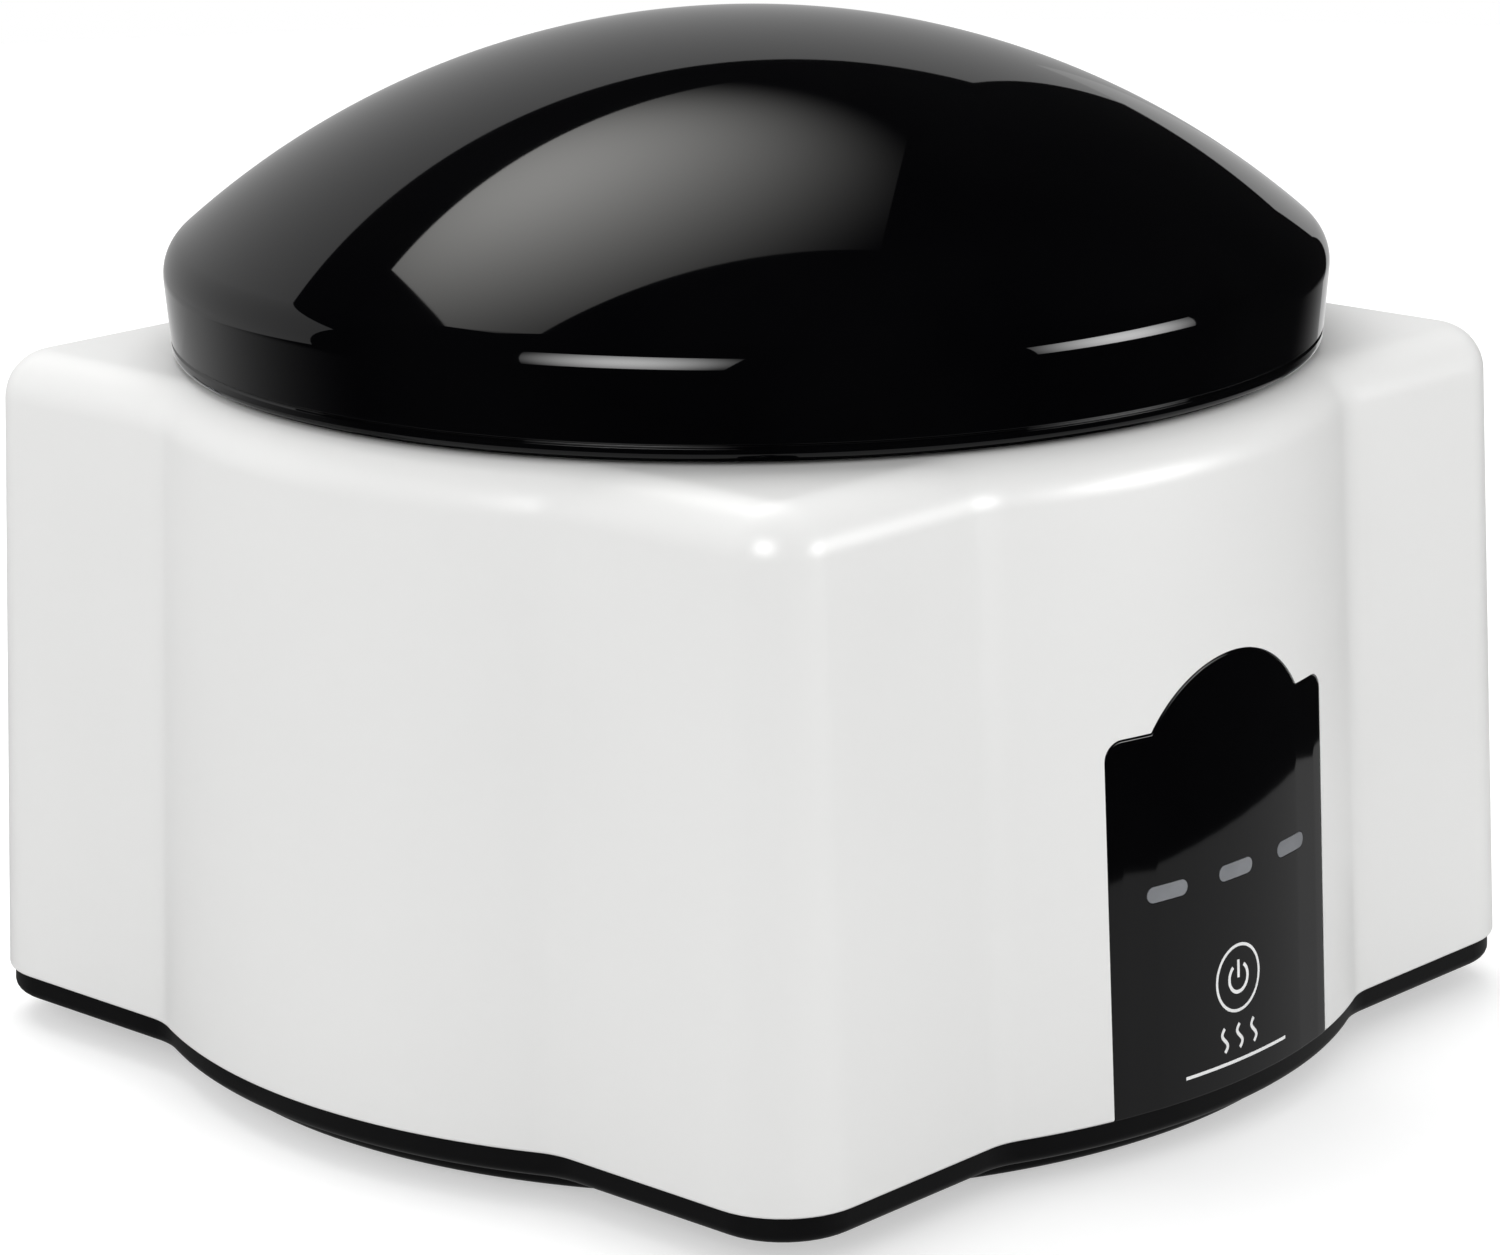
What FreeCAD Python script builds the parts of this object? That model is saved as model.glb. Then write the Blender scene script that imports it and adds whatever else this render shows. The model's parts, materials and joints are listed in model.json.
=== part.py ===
import FreeCAD
import Part
import math
import os

from FreeCAD import Vector

# Steam soak-off pot for gel nail polish: a drafted casing with four bulges, a heated basin under a
# lift-out finger plate, and a lift-off dome lid. Millimetres, +Z up, the control panel faces -Y,
# and the origin lies on the table under the middle of the pot.

# Casing: a rounded square joined with a circle that bulges out of each side
SIDE = 162.0
BULGE_OUT = 9.0
CORNER_R = 12.0
JUNCTION_R = 12.0
CASING_H = 91.4
DRAFT_DEG = 2.5
TOP_EDGE_R = 7.0
WALL = 2.5

# Mouth of the casing: a collar that hangs down round the opening
MOUTH_WALL = 2.5
MOUTH_DEPTH = 13.0

# Base: a band under the casing, a round plinth and the lip that locates the casing
BAND_H = 3.8
BAND_INSET = 0.8
BAND_EDGE_R = 1.5
PLINTH_INSET = 5.0
PLINTH_H = 2.8
PLINTH_EDGE_R = 1.2
FLOOR_T = 2.4
LIP_H = 6.0
LIP_T = 2.0
LIP_CLEAR = 0.3
VENT_COUNT = 7
VENT_L = 40.0
VENT_W = 2.5
VENT_PITCH = 6.0
VENT_MIDDLE_Y = -28.0

# Rubber feet in the plinth
FOOT_R = 8.0
FOOT_PROUD = 1.2
FOOT_RECESS = 0.9
FOOT_INSET = 15.0

# Corner screws that hold the base, and the corner bosses that hold the basin
BOSS_INSET = 6.0
BOSS_R = 4.0
BOSS_H = 16.0
BOSS_WEB_T = 2.2
TOWER_R = 4.8
TOWER_H = 18.0
TOWER_SEAT = 8.0
SCREW_R = 1.5
SCREW_HEAD_R = 2.8
SCREW_HEAD_H = 2.0
SCREW_CLEAR = 0.15
BASE_SCREW_L = 18.0
BASIN_SCREW_L = 8.0
PILOT_SPARE = 1.0

# Lid: a spherical cap on a short leaning side, with a rounded shoulder
LID_SETBACK = 3.3
LID_TUCK = 1.1
LID_WALL = 2.4
LID_CLEAR = 0.4
LID_SIDE_H = 13.8
LID_RISE = 45.8
LID_SHOULDER_R = 6.3
LID_RIM_R = 1.4
LINER_T = 2.0
LINER_LEDGE = 9.0
LINER_GAP = 0.2
LINER_RISE = 26.0
SEAL_T = 2.0
SEAL_W = 4.0
SEAL_EDGE = 1.0

# Finger plate
FLANGE_T = 2.0
FLANGE_LEDGE = 6.8
PLATE_T = 2.2
PLATE_DROP = 3.0
SPIGOT_T = 2.2
SPIGOT_DEPTH = 10.0
SPIGOT_CLEAR = 0.4
FINGER_COUNT = 5
FINGER_R = 11.0
FINGER_PITCH_DEG = 37.5
FINGER_INSET = 26.0
FINGER_SKIRT_T = 1.8
FINGER_SKIRT_H = 6.0
FINGER_EDGE_R = 1.0

# Basin, a drawn aluminium bowl with a flange and four ears
GASKET_T = 1.5
GASKET_W = 4.5
BASIN_STEP = 4.0
BASIN_DEPTH = 28.0
BASIN_TAPER = 8.0
BASIN_T = 1.6
BASIN_FLOOR_T = 2.6
BASIN_FLOOR_R = 8.0
BASIN_FLANGE_W = 3.0
EAR_R = 5.0

# Heater stack under the basin
HEATER_INSET = 20.0
HEATER_T = 5.0
TAB_W = 6.0
TAB_T = 0.8
TAB_L = 9.0
TAB_SPREAD = 16.0
STUD_INSET = 13.0
STUD_R = 3.5
STUD_COUNT = 3
CLAMP_T = 1.5
CLAMP_HUB_R = 20.0
CLAMP_ARM_W = 12.0
THERMOSTAT_R = 8.0
THERMOSTAT_H = 7.0
THERMOSTAT_EAR_T = 1.0
THERMOSTAT_EAR_PITCH = 24.0
THERMOSTAT_EAR_R = 3.8
THERMOSTAT_PIN_L = 6.0
THERMOSTAT_PIN_PITCH = 8.0
SENSOR_R = 1.8
SENSOR_CLEAR = 0.1
SENSOR_SUNK = 12.0
SENSOR_OUT = 7.0
SENSOR_ANGLE_DEG = 120.0
FELT_T = 5.0
FELT_GAP = 0.25
FELT_H = 18.0

# Control panel on the front bulge, and what lies behind it
PANEL_W = 46.6
PANEL_SHOULDER_H = 52.0
PANEL_CORNER_R = 2.6
PANEL_ARCH_W = 31.2
PANEL_ARCH_H = 8.2
PANEL_GAP = 0.15
PANEL_TAPE_T = 0.2
WINDOW_H = 30.0
WINDOW_PITCH = 13.5
WINDOW_W = 7.2
WINDOW_TALL = 2.2
WINDOW_CLEAR = 0.1
TOUCH_H = 14.8
TOUCH_R = 5.0
TOUCH_CLEAR = 1.0
CARRIER_T = 2.0
CARRIER_MARGIN = 5.0
CARRIER_RAISE = 0.3
DISPLAY_GAP = 7.3
DISPLAY_W = 36.0
DISPLAY_TALL = 36.0
DISPLAY_RAISE = 3.0
DISPLAY_POST_R = 2.4
DISPLAY_POST_SPREAD = 27.0
DISPLAY_POST_H = 21.0
RAIL_T = 1.8
LED_H = 2.0
LED_W = 3.2
LED_GAP = 0.2

# Main board on the base, with its parts
BOARD_T = 1.6
BOARD_W = 64.0
BOARD_L = 44.0
BOARD_REAR_GAP = 30.0
BOARD_POST_R = 3.0
BOARD_POST_H = 5.0
BOARD_POST_INSET = 4.0
SMALL_SCREW_R = 1.0
SMALL_HEAD_R = 2.0
SMALL_HEAD_H = 1.5
SMALL_SCREW_L = 5.0
PLUG_W = 8.0
PLUG_L = 6.0
PLUG_H = 6.0
PLUG_INSET = 7.0
CAPACITOR_R = 4.0
CAPACITOR_H = 9.0
COIL_R = 5.5
COIL_H = 5.0
CHIP_W = 9.0
CHIP_H = 1.4
TRANSISTOR_W = 10.0
TRANSISTOR_T = 4.4

# Inlet for the supply at the rear, a round socket with a nut behind the wall
INLET_RAISE = 0.8
INLET_FLANGE_R = 7.0
INLET_FLANGE_T = 1.5
INLET_RECESS = 2.2
INLET_POCKET_CLEAR = 0.5
INLET_PAD_R = 10.0
INLET_PAD_T = 2.5
INLET_BARREL_R = 5.4
INLET_BARREL_L = 14.0
INLET_HOLE_CLEAR = 0.2
INLET_MOUTH_R = 3.3
INLET_MOUTH_L = 4.0
INLET_CONTACT_R = 2.9
INLET_CONTACT_L = 6.0
INLET_PIN_R = 1.05
INLET_TAG_L = 5.0
INLET_TAG_PITCH = 5.0
INLET_TAG_W = 2.4
NUT_FLATS = 14.0
NUT_T = 2.5
NUT_CLEAR = 0.05

# Inner wiring
LEAD_R = 0.9
LEAD_BEND = 6.0
LEAD_GAP = 0.1
RIBBON_W = 12.0
RIBBON_T = 0.9
RIBBON_SAG = 4.0
RIBBON_H = 5.0

# Heights and radii that follow from the sizes above
LEAN = math.tan(math.radians(DRAFT_DEG))
PLINTH_Z = FOOT_PROUD
BAND_Z = PLINTH_Z + PLINTH_H
CASING_Z = BAND_Z + BAND_H
TOP_Z = CASING_Z + CASING_H
BULGE_R = SIDE / 2 + BULGE_OUT
PLINTH_R = BULGE_R - PLINTH_INSET
LID_R = BULGE_R - CASING_H * LEAN - LID_SETBACK
LID_SEAM_R = LID_R - LID_TUCK
LID_BORE_R = LID_SEAM_R - LID_WALL
FLANGE_R = LID_BORE_R - LID_CLEAR
MOUTH_R = FLANGE_R - FLANGE_LEDGE
FLANGE_TOP_Z = TOP_Z + FLANGE_T
LID_Z = TOP_Z + LID_CLEAR
BASIN_R = MOUTH_R - BASIN_STEP
BASIN_FLOOR_OUT_R = BASIN_R - BASIN_TAPER
BASIN_Z = TOP_Z - MOUTH_DEPTH - GASKET_T
BASIN_UNDER_Z = BASIN_Z - BASIN_DEPTH - BASIN_FLOOR_T
HEATER_R = BASIN_FLOOR_OUT_R - HEATER_INSET
HEATER_Z = BASIN_UNDER_Z - HEATER_T
STUD_POS = BASIN_FLOOR_OUT_R - STUD_INSET
CLAMP_Z = HEATER_Z - CLAMP_T
BOSS_POS = math.sqrt(2) * (SIDE / 2 - CORNER_R) - BOSS_INSET
FLOOR_Z = PLINTH_Z + FLOOR_T
BAND_FLOOR_Z = BAND_Z + FLOOR_T
TOWER_TOP_Z = BAND_Z + TOWER_H
SEAT_Z = BAND_Z + TOWER_SEAT
LIP_TOP_Z = CASING_Z + LIP_H
PANEL_T = WALL + PANEL_TAPE_T
PANEL_BACK_Y = -(BULGE_R - PANEL_T)
DISPLAY_Y = PANEL_BACK_Y + CARRIER_T + DISPLAY_GAP
WINDOW_Z = CASING_Z + WINDOW_H
TOUCH_Z = CASING_Z + TOUCH_H
DISPLAY_POST_Z = CASING_Z + DISPLAY_POST_H
BOARD_Z = FLOOR_Z + BOARD_POST_H
BOARD_TOP_Z = BOARD_Z + BOARD_T
BOARD_REAR_Y = BULGE_R - BOARD_REAR_GAP
BOARD_MIDDLE_Y = BOARD_REAR_Y - BOARD_L / 2
BOARD_FRONT_Y = BOARD_REAR_Y - BOARD_L
INLET_Z = LIP_TOP_Z + INLET_RAISE + INLET_PAD_R
INLET_SEAT_Y = BULGE_R - (INLET_Z - CASING_Z) * LEAN - INLET_RECESS
INLET_FACE_Y = INLET_SEAT_Y + INLET_FLANGE_T
INLET_REAR_Y = INLET_SEAT_Y - INLET_BARREL_L
CORNER_ANGLES = [45 + 90 * quarter for quarter in range(4)]
STUD_ANGLES = [90 + 360 / STUD_COUNT * number for number in range(STUD_COUNT)]
WINDOW_XS = [WINDOW_PITCH * step for step in (-1, 0, 1)]


# Small helpers


def at(radius, degrees, z):
    """Point at a radius and an angle from +X."""
    turn = math.radians(degrees)
    return Vector(radius * math.cos(turn), radius * math.sin(turn), z)


def disc(radius, height, centre):
    """Upright cylinder that stands on a point."""
    return Part.makeCylinder(radius, height, centre)


def ring(inner, outer, height, z):
    """Flat ring round the Z axis."""
    return disc(outer, height, Vector(0, 0, z)).cut(disc(inner, height, Vector(0, 0, z)))


def rod(radius, length, start, direction):
    """Cylinder from a point along a direction."""
    return Part.makeCylinder(radius, length, start, direction)


def block(width, depth, height, centre):
    """Box that stands on the middle of its lower face."""
    corner = Vector(centre.x - width / 2, centre.y - depth / 2, centre.z)
    return Part.makeBox(width, depth, height, corner)


def turned(points):
    """Solid of revolution about Z from a closed outline of radius and height pairs."""
    corners = [Vector(radius, 0, z) for radius, z in points]
    face = Part.Face(Part.makePolygon(corners + corners[:1]))
    return face.revolve(Vector(0, 0, 0), Vector(0, 0, 1), 360)


def joined(solids):
    """One solid fused from several, with the seams between coplanar faces removed."""
    return solids[0].fuse(solids[1:]).removeSplitter()


def edges_at(shape, z, min_radius=0.0):
    """Edges that lie in one level plane, outside a radius."""
    found = []
    for edge in shape.Edges:
        if edge.Degenerated:
            continue
        level = all(abs(point.z - z) < 1e-4 for point in edge.discretize(5))
        outside = all(math.hypot(point.x, point.y) > min_radius for point in edge.discretize(5))
        if level and outside:
            found.append(edge)
    return found


# The casing's outline and the drafted solids that share it


def quarter_turns(point, quarters, z):
    """Point of the front side, turned to another side of the square."""
    x, y = point
    for _ in range(quarters):
        x, y = -y, x
    return Vector(x, y, z)


def outline(inset, z):
    """Closed wire of the plan outline, moved in by an inset: flats, bulges, corners and junctions."""
    half = SIDE / 2 - inset
    bulge = BULGE_R - inset
    corner = CORNER_R - inset
    junction = JUNCTION_R + inset
    reach = bulge + junction
    junction_x = math.sqrt(reach**2 - (half + junction) ** 2)
    turn = math.atan2(junction_x, half + junction)
    flat_end = half - corner
    flat_start = (flat_end, -half)
    junction_flat = (junction_x, -half)
    junction_middle = (
        junction_x - junction * math.sin(turn / 2),
        -half - junction + junction * math.cos(turn / 2),
    )
    junction_bulge = (bulge * math.sin(turn), -bulge * math.cos(turn))
    corner_middle = flat_end + corner / math.sqrt(2)
    edges = []
    for quarters in range(4):
        right = [
            quarter_turns(point, quarters, z)
            for point in (junction_bulge, junction_middle, junction_flat, flat_start)
        ]
        left = [
            quarter_turns((-x, y), quarters, z)
            for x, y in (junction_bulge, junction_middle, junction_flat, flat_start)
        ]
        bulge_middle = quarter_turns((0, -bulge), quarters, z)
        corner_point = quarter_turns((corner_middle, -corner_middle), quarters, z)
        next_side = quarter_turns((half, -flat_end), quarters, z)
        edges.append(Part.LineSegment(left[3], left[2]).toShape())
        edges.append(Part.Arc(left[2], left[1], left[0]).toShape())
        edges.append(Part.Arc(left[0], bulge_middle, right[0]).toShape())
        edges.append(Part.Arc(right[0], right[1], right[2]).toShape())
        edges.append(Part.LineSegment(right[2], right[3]).toShape())
        edges.append(Part.Arc(right[3], corner_point, next_side).toShape())
    return Part.Wire(edges)


def drafted(inset, low_z, high_z):
    """Solid inside the casing's leaning walls, moved in by an inset, between two heights."""
    low = outline(inset + (low_z - CASING_Z) * LEAN, low_z)
    high = outline(inset + (high_z - CASING_Z) * LEAN, high_z)
    return Part.makeLoft([low, high], True, True)


def rounded_block(inset, low_z, high_z, edge_r):
    """Drafted solid with its upper edge rounded."""
    solid = drafted(inset, low_z, high_z)
    return solid.makeFillet(edge_r, edges_at(solid, high_z))


# Control panel outline, seen from the front


def panel_prism(margin, low_z):
    """Prism along Y through the front bulge: straight sides, rounded shoulders and an arched top."""
    half = PANEL_W / 2 + margin
    shoulder = CASING_Z + PANEL_SHOULDER_H + margin
    corner = PANEL_CORNER_R + margin
    arch_half = PANEL_ARCH_W / 2 + margin
    apex = shoulder + PANEL_ARCH_H
    corner_in = corner * (1 - 1 / math.sqrt(2))
    start_y = -BULGE_R - BULGE_OUT

    def point(x, z):
        return Vector(x, start_y, z)

    edges = [
        Part.LineSegment(point(-half, low_z), point(half, low_z)).toShape(),
        Part.LineSegment(point(half, low_z), point(half, shoulder - corner)).toShape(),
        Part.Arc(
            point(half, shoulder - corner),
            point(half - corner_in, shoulder - corner_in),
            point(half - corner, shoulder),
        ).toShape(),
        Part.LineSegment(point(half - corner, shoulder), point(arch_half, shoulder)).toShape(),
        Part.Arc(point(arch_half, shoulder), point(0, apex), point(-arch_half, shoulder)).toShape(),
        Part.LineSegment(point(-arch_half, shoulder), point(corner - half, shoulder)).toShape(),
        Part.Arc(
            point(corner - half, shoulder),
            point(corner_in - half, shoulder - corner_in),
            point(-half, shoulder - corner),
        ).toShape(),
        Part.LineSegment(point(-half, shoulder - corner), point(-half, low_z)).toShape(),
    ]
    return Part.Face(Part.Wire(edges)).extrude(Vector(0, BULGE_R, 0))


def window_bar(x, clear, front_y, rear_y):
    """Bar along Y with rounded ends, as wide as one status window."""
    straight = WINDOW_W - WINDOW_TALL
    radius = WINDOW_TALL / 2 + clear
    length = rear_y - front_y
    low = Vector(x - straight / 2, front_y, WINDOW_Z - radius)
    middle = Part.makeBox(straight, length, 2 * radius, low)
    ends = [
        rod(radius, length, Vector(x + side * straight / 2, front_y, WINDOW_Z), Vector(0, 1, 0))
        for side in (-1, 1)
    ]
    return joined([middle] + ends)


# Casing


def make_casing():
    """White moulded shell with its mouth, corner bosses, panel opening and inlet pocket."""
    outer = rounded_block(0, CASING_Z, TOP_Z, TOP_EDGE_R)
    inner = rounded_block(WALL, CASING_Z, TOP_Z - WALL, TOP_EDGE_R - WALL)
    shell = outer.cut(inner)
    collar = disc(MOUTH_R + MOUTH_WALL, MOUTH_DEPTH, Vector(0, 0, TOP_Z - MOUTH_DEPTH))
    added = [collar]
    pilots = []
    for angle in CORNER_ANGLES:
        added.append(disc(BOSS_R, BOSS_H, at(BOSS_POS, angle, TOWER_TOP_Z)))
        web = Part.makeBox(
            CORNER_R + BOSS_INSET, BOSS_WEB_T, BOSS_H, Vector(BOSS_POS, -BOSS_WEB_T / 2, TOWER_TOP_Z)
        )
        web.rotate(Vector(0, 0, 0), Vector(0, 0, 1), angle)
        added.append(web.common(outer))
        added.append(disc(BOSS_R, TOP_Z - WALL / 2 - BASIN_Z, at(BOSS_POS, angle, BASIN_Z)))
        pilot_depth = SEAT_Z + BASE_SCREW_L + PILOT_SPARE - TOWER_TOP_Z
        pilots.append(disc(SCREW_R + SCREW_CLEAR, pilot_depth, at(BOSS_POS, angle, TOWER_TOP_Z)))
        basin_pilot = BASIN_SCREW_L - BASIN_T + PILOT_SPARE
        pilots.append(disc(SCREW_R + SCREW_CLEAR, basin_pilot, at(BOSS_POS, angle, BASIN_Z)))
    inlet_pad = rod(
        INLET_PAD_R,
        INLET_PAD_T + INLET_RECESS,
        Vector(0, INLET_SEAT_Y - INLET_PAD_T, INLET_Z),
        Vector(0, 1, 0),
    )
    added.append(inlet_pad.common(outer))
    mouth = disc(MOUTH_R, MOUTH_DEPTH, Vector(0, 0, TOP_Z - MOUTH_DEPTH))
    pocket = rod(
        INLET_FLANGE_R + INLET_POCKET_CLEAR,
        INLET_RECESS + BULGE_OUT,
        Vector(0, INLET_SEAT_Y, INLET_Z),
        Vector(0, 1, 0),
    )
    inlet_hole = rod(
        INLET_BARREL_R + INLET_HOLE_CLEAR,
        INLET_PAD_T,
        Vector(0, INLET_SEAT_Y - INLET_PAD_T, INLET_Z),
        Vector(0, 1, 0),
    )
    opening = panel_prism(PANEL_GAP, CASING_Z)
    solid = joined([shell] + added)
    return solid.cut([mouth, pocket, inlet_hole, opening] + pilots)


# Base


def make_base_tray():
    """Black tray: band, round plinth, locating lip, screw towers, board posts, vents and foot recesses."""
    band = drafted(BAND_INSET, BAND_Z, CASING_Z)
    band = band.makeFillet(BAND_EDGE_R, edges_at(band, BAND_Z))
    plinth = disc(PLINTH_R, PLINTH_H + BAND_H, Vector(0, 0, PLINTH_Z))
    plinth = plinth.makeFillet(PLINTH_EDGE_R, edges_at(plinth, PLINTH_Z))
    lip = drafted(WALL + LIP_CLEAR, BAND_FLOOR_Z, LIP_TOP_Z)
    well = disc(PLINTH_R - FLOOR_T, BAND_FLOOR_Z - FLOOR_Z, Vector(0, 0, FLOOR_Z))
    room = drafted(WALL + LIP_CLEAR + LIP_T, BAND_FLOOR_Z, LIP_TOP_Z)
    tray = joined([band, plinth, lip]).cut([well, room])
    towers = [disc(TOWER_R, TOWER_H, at(BOSS_POS, angle, BAND_Z)) for angle in CORNER_ANGLES]
    posts = [disc(BOARD_POST_R, BOARD_Z - PLINTH_Z, Vector(x, y, PLINTH_Z)) for x, y in board_holes()]
    tray = joined([tray] + towers + posts)
    cuts = []
    for angle in CORNER_ANGLES:
        cuts.append(disc(SCREW_HEAD_R + 2 * SCREW_CLEAR, TOWER_SEAT, at(BOSS_POS, angle, BAND_Z)))
        cuts.append(disc(SCREW_R + SCREW_CLEAR, TOWER_H, at(BOSS_POS, angle, BAND_Z)))
        cuts.append(disc(FOOT_R, FOOT_RECESS, at(PLINTH_R - FOOT_INSET, angle, PLINTH_Z)))
    for x, y in board_holes():
        depth = SMALL_SCREW_L - BOARD_T
        cuts.append(disc(SMALL_SCREW_R + SCREW_CLEAR, depth, Vector(x, y, BOARD_Z - depth)))
    for number in range(VENT_COUNT):
        x = (number - (VENT_COUNT - 1) / 2) * VENT_PITCH
        cuts.append(block(VENT_W, VENT_L, FLOOR_T, Vector(x, VENT_MIDDLE_Y, PLINTH_Z)))
    return tray.cut(cuts)


def make_rubber_feet():
    """Four pads set into the plinth."""
    pads = []
    for angle in CORNER_ANGLES:
        pads.append(disc(FOOT_R, FOOT_PROUD + FOOT_RECESS, at(PLINTH_R - FOOT_INSET, angle, 0)))
    return Part.makeCompound(pads)


def upright_screw(radius, length, head_r, head_h, seat):
    """Screw whose head hangs under a seat, with its shank pointing up."""
    head = disc(head_r, head_h, seat - Vector(0, 0, head_h))
    return joined([head, disc(radius, length, seat)])


def make_base_screws():
    """Screws from the towers up into the casing's bosses."""
    screws = []
    for angle in CORNER_ANGLES:
        seat = at(BOSS_POS, angle, SEAT_Z)
        screws.append(upright_screw(SCREW_R, BASE_SCREW_L, SCREW_HEAD_R, SCREW_HEAD_H, seat))
    return Part.makeCompound(screws)


# Basin and heater


def basin_profile_radius(z):
    """Inside radius of the bowl's leaning wall at a height."""
    return BASIN_R - BASIN_TAPER * (BASIN_Z - z) / BASIN_DEPTH


def make_basin():
    """Drawn bowl with a flange, corner ears and studs for the heater clamp."""
    floor_z = BASIN_Z - BASIN_DEPTH
    outside = turned(
        [
            (0, BASIN_UNDER_Z),
            (basin_profile_radius(BASIN_UNDER_Z) + BASIN_T, BASIN_UNDER_Z),
            (BASIN_R + BASIN_T, BASIN_Z),
            (0, BASIN_Z),
        ]
    )
    outside = outside.makeFillet(BASIN_FLOOR_R + BASIN_T, edges_at(outside, BASIN_UNDER_Z))
    inside = turned([(0, floor_z), (BASIN_FLOOR_OUT_R, floor_z), (BASIN_R, BASIN_Z), (0, BASIN_Z)])
    inside = inside.makeFillet(BASIN_FLOOR_R, edges_at(inside, floor_z))
    flange_r = MOUTH_R + MOUTH_WALL + BASIN_FLANGE_W
    pieces = [outside, disc(flange_r, BASIN_T, Vector(0, 0, BASIN_Z - BASIN_T))]
    holes = [inside]
    for angle in CORNER_ANGLES:
        pieces.append(disc(EAR_R, BASIN_T, at(BOSS_POS, angle, BASIN_Z - BASIN_T)))
        arm_start = Vector(BASIN_R, -EAR_R, BASIN_Z - BASIN_T)
        arm = Part.makeBox(BOSS_POS - BASIN_R, 2 * EAR_R, BASIN_T, arm_start)
        arm.rotate(Vector(0, 0, 0), Vector(0, 0, 1), angle)
        pieces.append(arm)
        holes.append(disc(SCREW_R + SCREW_CLEAR, BASIN_T, at(BOSS_POS, angle, BASIN_Z - BASIN_T)))
    for angle in STUD_ANGLES:
        pieces.append(disc(STUD_R, HEATER_T + BASIN_FLOOR_T / 2, at(STUD_POS, angle, HEATER_Z)))
        holes.append(disc(SCREW_R + SCREW_CLEAR, HEATER_T + PILOT_SPARE / 2, at(STUD_POS, angle, HEATER_Z)))
    return joined(pieces).cut(holes)


def make_basin_gasket():
    """Silicone ring between the mouth's collar and the basin's flange."""
    return ring(MOUTH_R, MOUTH_R + GASKET_W, GASKET_T, BASIN_Z)


def make_basin_screws():
    """Screws through the basin's ears, up into the casing's bosses."""
    screws = []
    for angle in CORNER_ANGLES:
        seat = at(BOSS_POS, angle, BASIN_Z - BASIN_T)
        screws.append(upright_screw(SCREW_R, BASIN_SCREW_L, SCREW_HEAD_R, SCREW_HEAD_H, seat))
    return Part.makeCompound(screws)


def heater_tab_y():
    """Far end of the heater's connection tabs."""
    return math.sqrt(HEATER_R**2 - TAB_SPREAD**2) + TAB_L


def make_heater_plate():
    """Flat heater with two connection tabs and a radial hole for the sensor."""
    plate = disc(HEATER_R, HEATER_T, Vector(0, 0, HEATER_Z))
    tabs = []
    for side in (-1, 1):
        middle = Vector(side * TAB_SPREAD, heater_tab_y() - TAB_L, HEATER_Z + (HEATER_T - TAB_T) / 2)
        tabs.append(block(TAB_W, 2 * TAB_L, TAB_T, middle))
    hole_start = at(HEATER_R - SENSOR_SUNK, SENSOR_ANGLE_DEG, HEATER_Z + HEATER_T / 2)
    hole = rod(SENSOR_R + SENSOR_CLEAR, HEATER_R, hole_start, at(1, SENSOR_ANGLE_DEG, 0))
    return joined([plate] + tabs).cut(hole)


def make_temperature_sensor():
    """Probe pushed into the heater's rim."""
    start = at(HEATER_R - SENSOR_SUNK, SENSOR_ANGLE_DEG, HEATER_Z + HEATER_T / 2)
    return rod(SENSOR_R, SENSOR_SUNK + SENSOR_OUT, start, at(1, SENSOR_ANGLE_DEG, 0))


def make_heater_clamp():
    """Sheet spider that presses the heater on the basin."""
    pieces = [disc(CLAMP_HUB_R, CLAMP_T, Vector(0, 0, CLAMP_Z))]
    holes = []
    for angle in STUD_ANGLES:
        arm = Part.makeBox(STUD_POS, CLAMP_ARM_W, CLAMP_T, Vector(0, -CLAMP_ARM_W / 2, CLAMP_Z))
        arm.rotate(Vector(0, 0, 0), Vector(0, 0, 1), angle)
        pieces.append(arm)
        pieces.append(disc(CLAMP_ARM_W / 2, CLAMP_T, at(STUD_POS, angle, CLAMP_Z)))
        holes.append(disc(SCREW_R + SCREW_CLEAR, CLAMP_T, at(STUD_POS, angle, CLAMP_Z)))
    for side in (-1, 1):
        ear = Vector(side * THERMOSTAT_EAR_PITCH / 2, 0, CLAMP_Z)
        holes.append(disc(SCREW_R + SCREW_CLEAR, CLAMP_T, ear))
    return joined(pieces).cut(holes)


def make_heater_screws():
    """Screws through the clamp into the basin's studs."""
    screws = []
    for angle in STUD_ANGLES:
        seat = at(STUD_POS, angle, CLAMP_Z)
        screws.append(upright_screw(SCREW_R, CLAMP_T + HEATER_T, SCREW_HEAD_R, SCREW_HEAD_H, seat))
    return Part.makeCompound(screws)


def make_thermostat():
    """Disc thermostat with a mounting plate and two pins."""
    ear_z = CLAMP_Z - THERMOSTAT_EAR_T
    pieces = [
        disc(THERMOSTAT_R, THERMOSTAT_H, Vector(0, 0, CLAMP_Z - THERMOSTAT_H)),
        block(THERMOSTAT_EAR_PITCH, 2 * THERMOSTAT_EAR_R, THERMOSTAT_EAR_T, Vector(0, 0, ear_z)),
    ]
    holes = []
    for side in (-1, 1):
        ear = Vector(side * THERMOSTAT_EAR_PITCH / 2, 0, ear_z)
        pieces.append(disc(THERMOSTAT_EAR_R, THERMOSTAT_EAR_T, ear))
        holes.append(disc(SCREW_R + SCREW_CLEAR, THERMOSTAT_EAR_T, ear))
        pin = Vector(side * THERMOSTAT_PIN_PITCH / 2, 0, CLAMP_Z - THERMOSTAT_H - THERMOSTAT_PIN_L)
        pieces.append(block(TAB_T, TAB_W, 2 * THERMOSTAT_PIN_L, pin))
    return joined(pieces).cut(holes)


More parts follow.
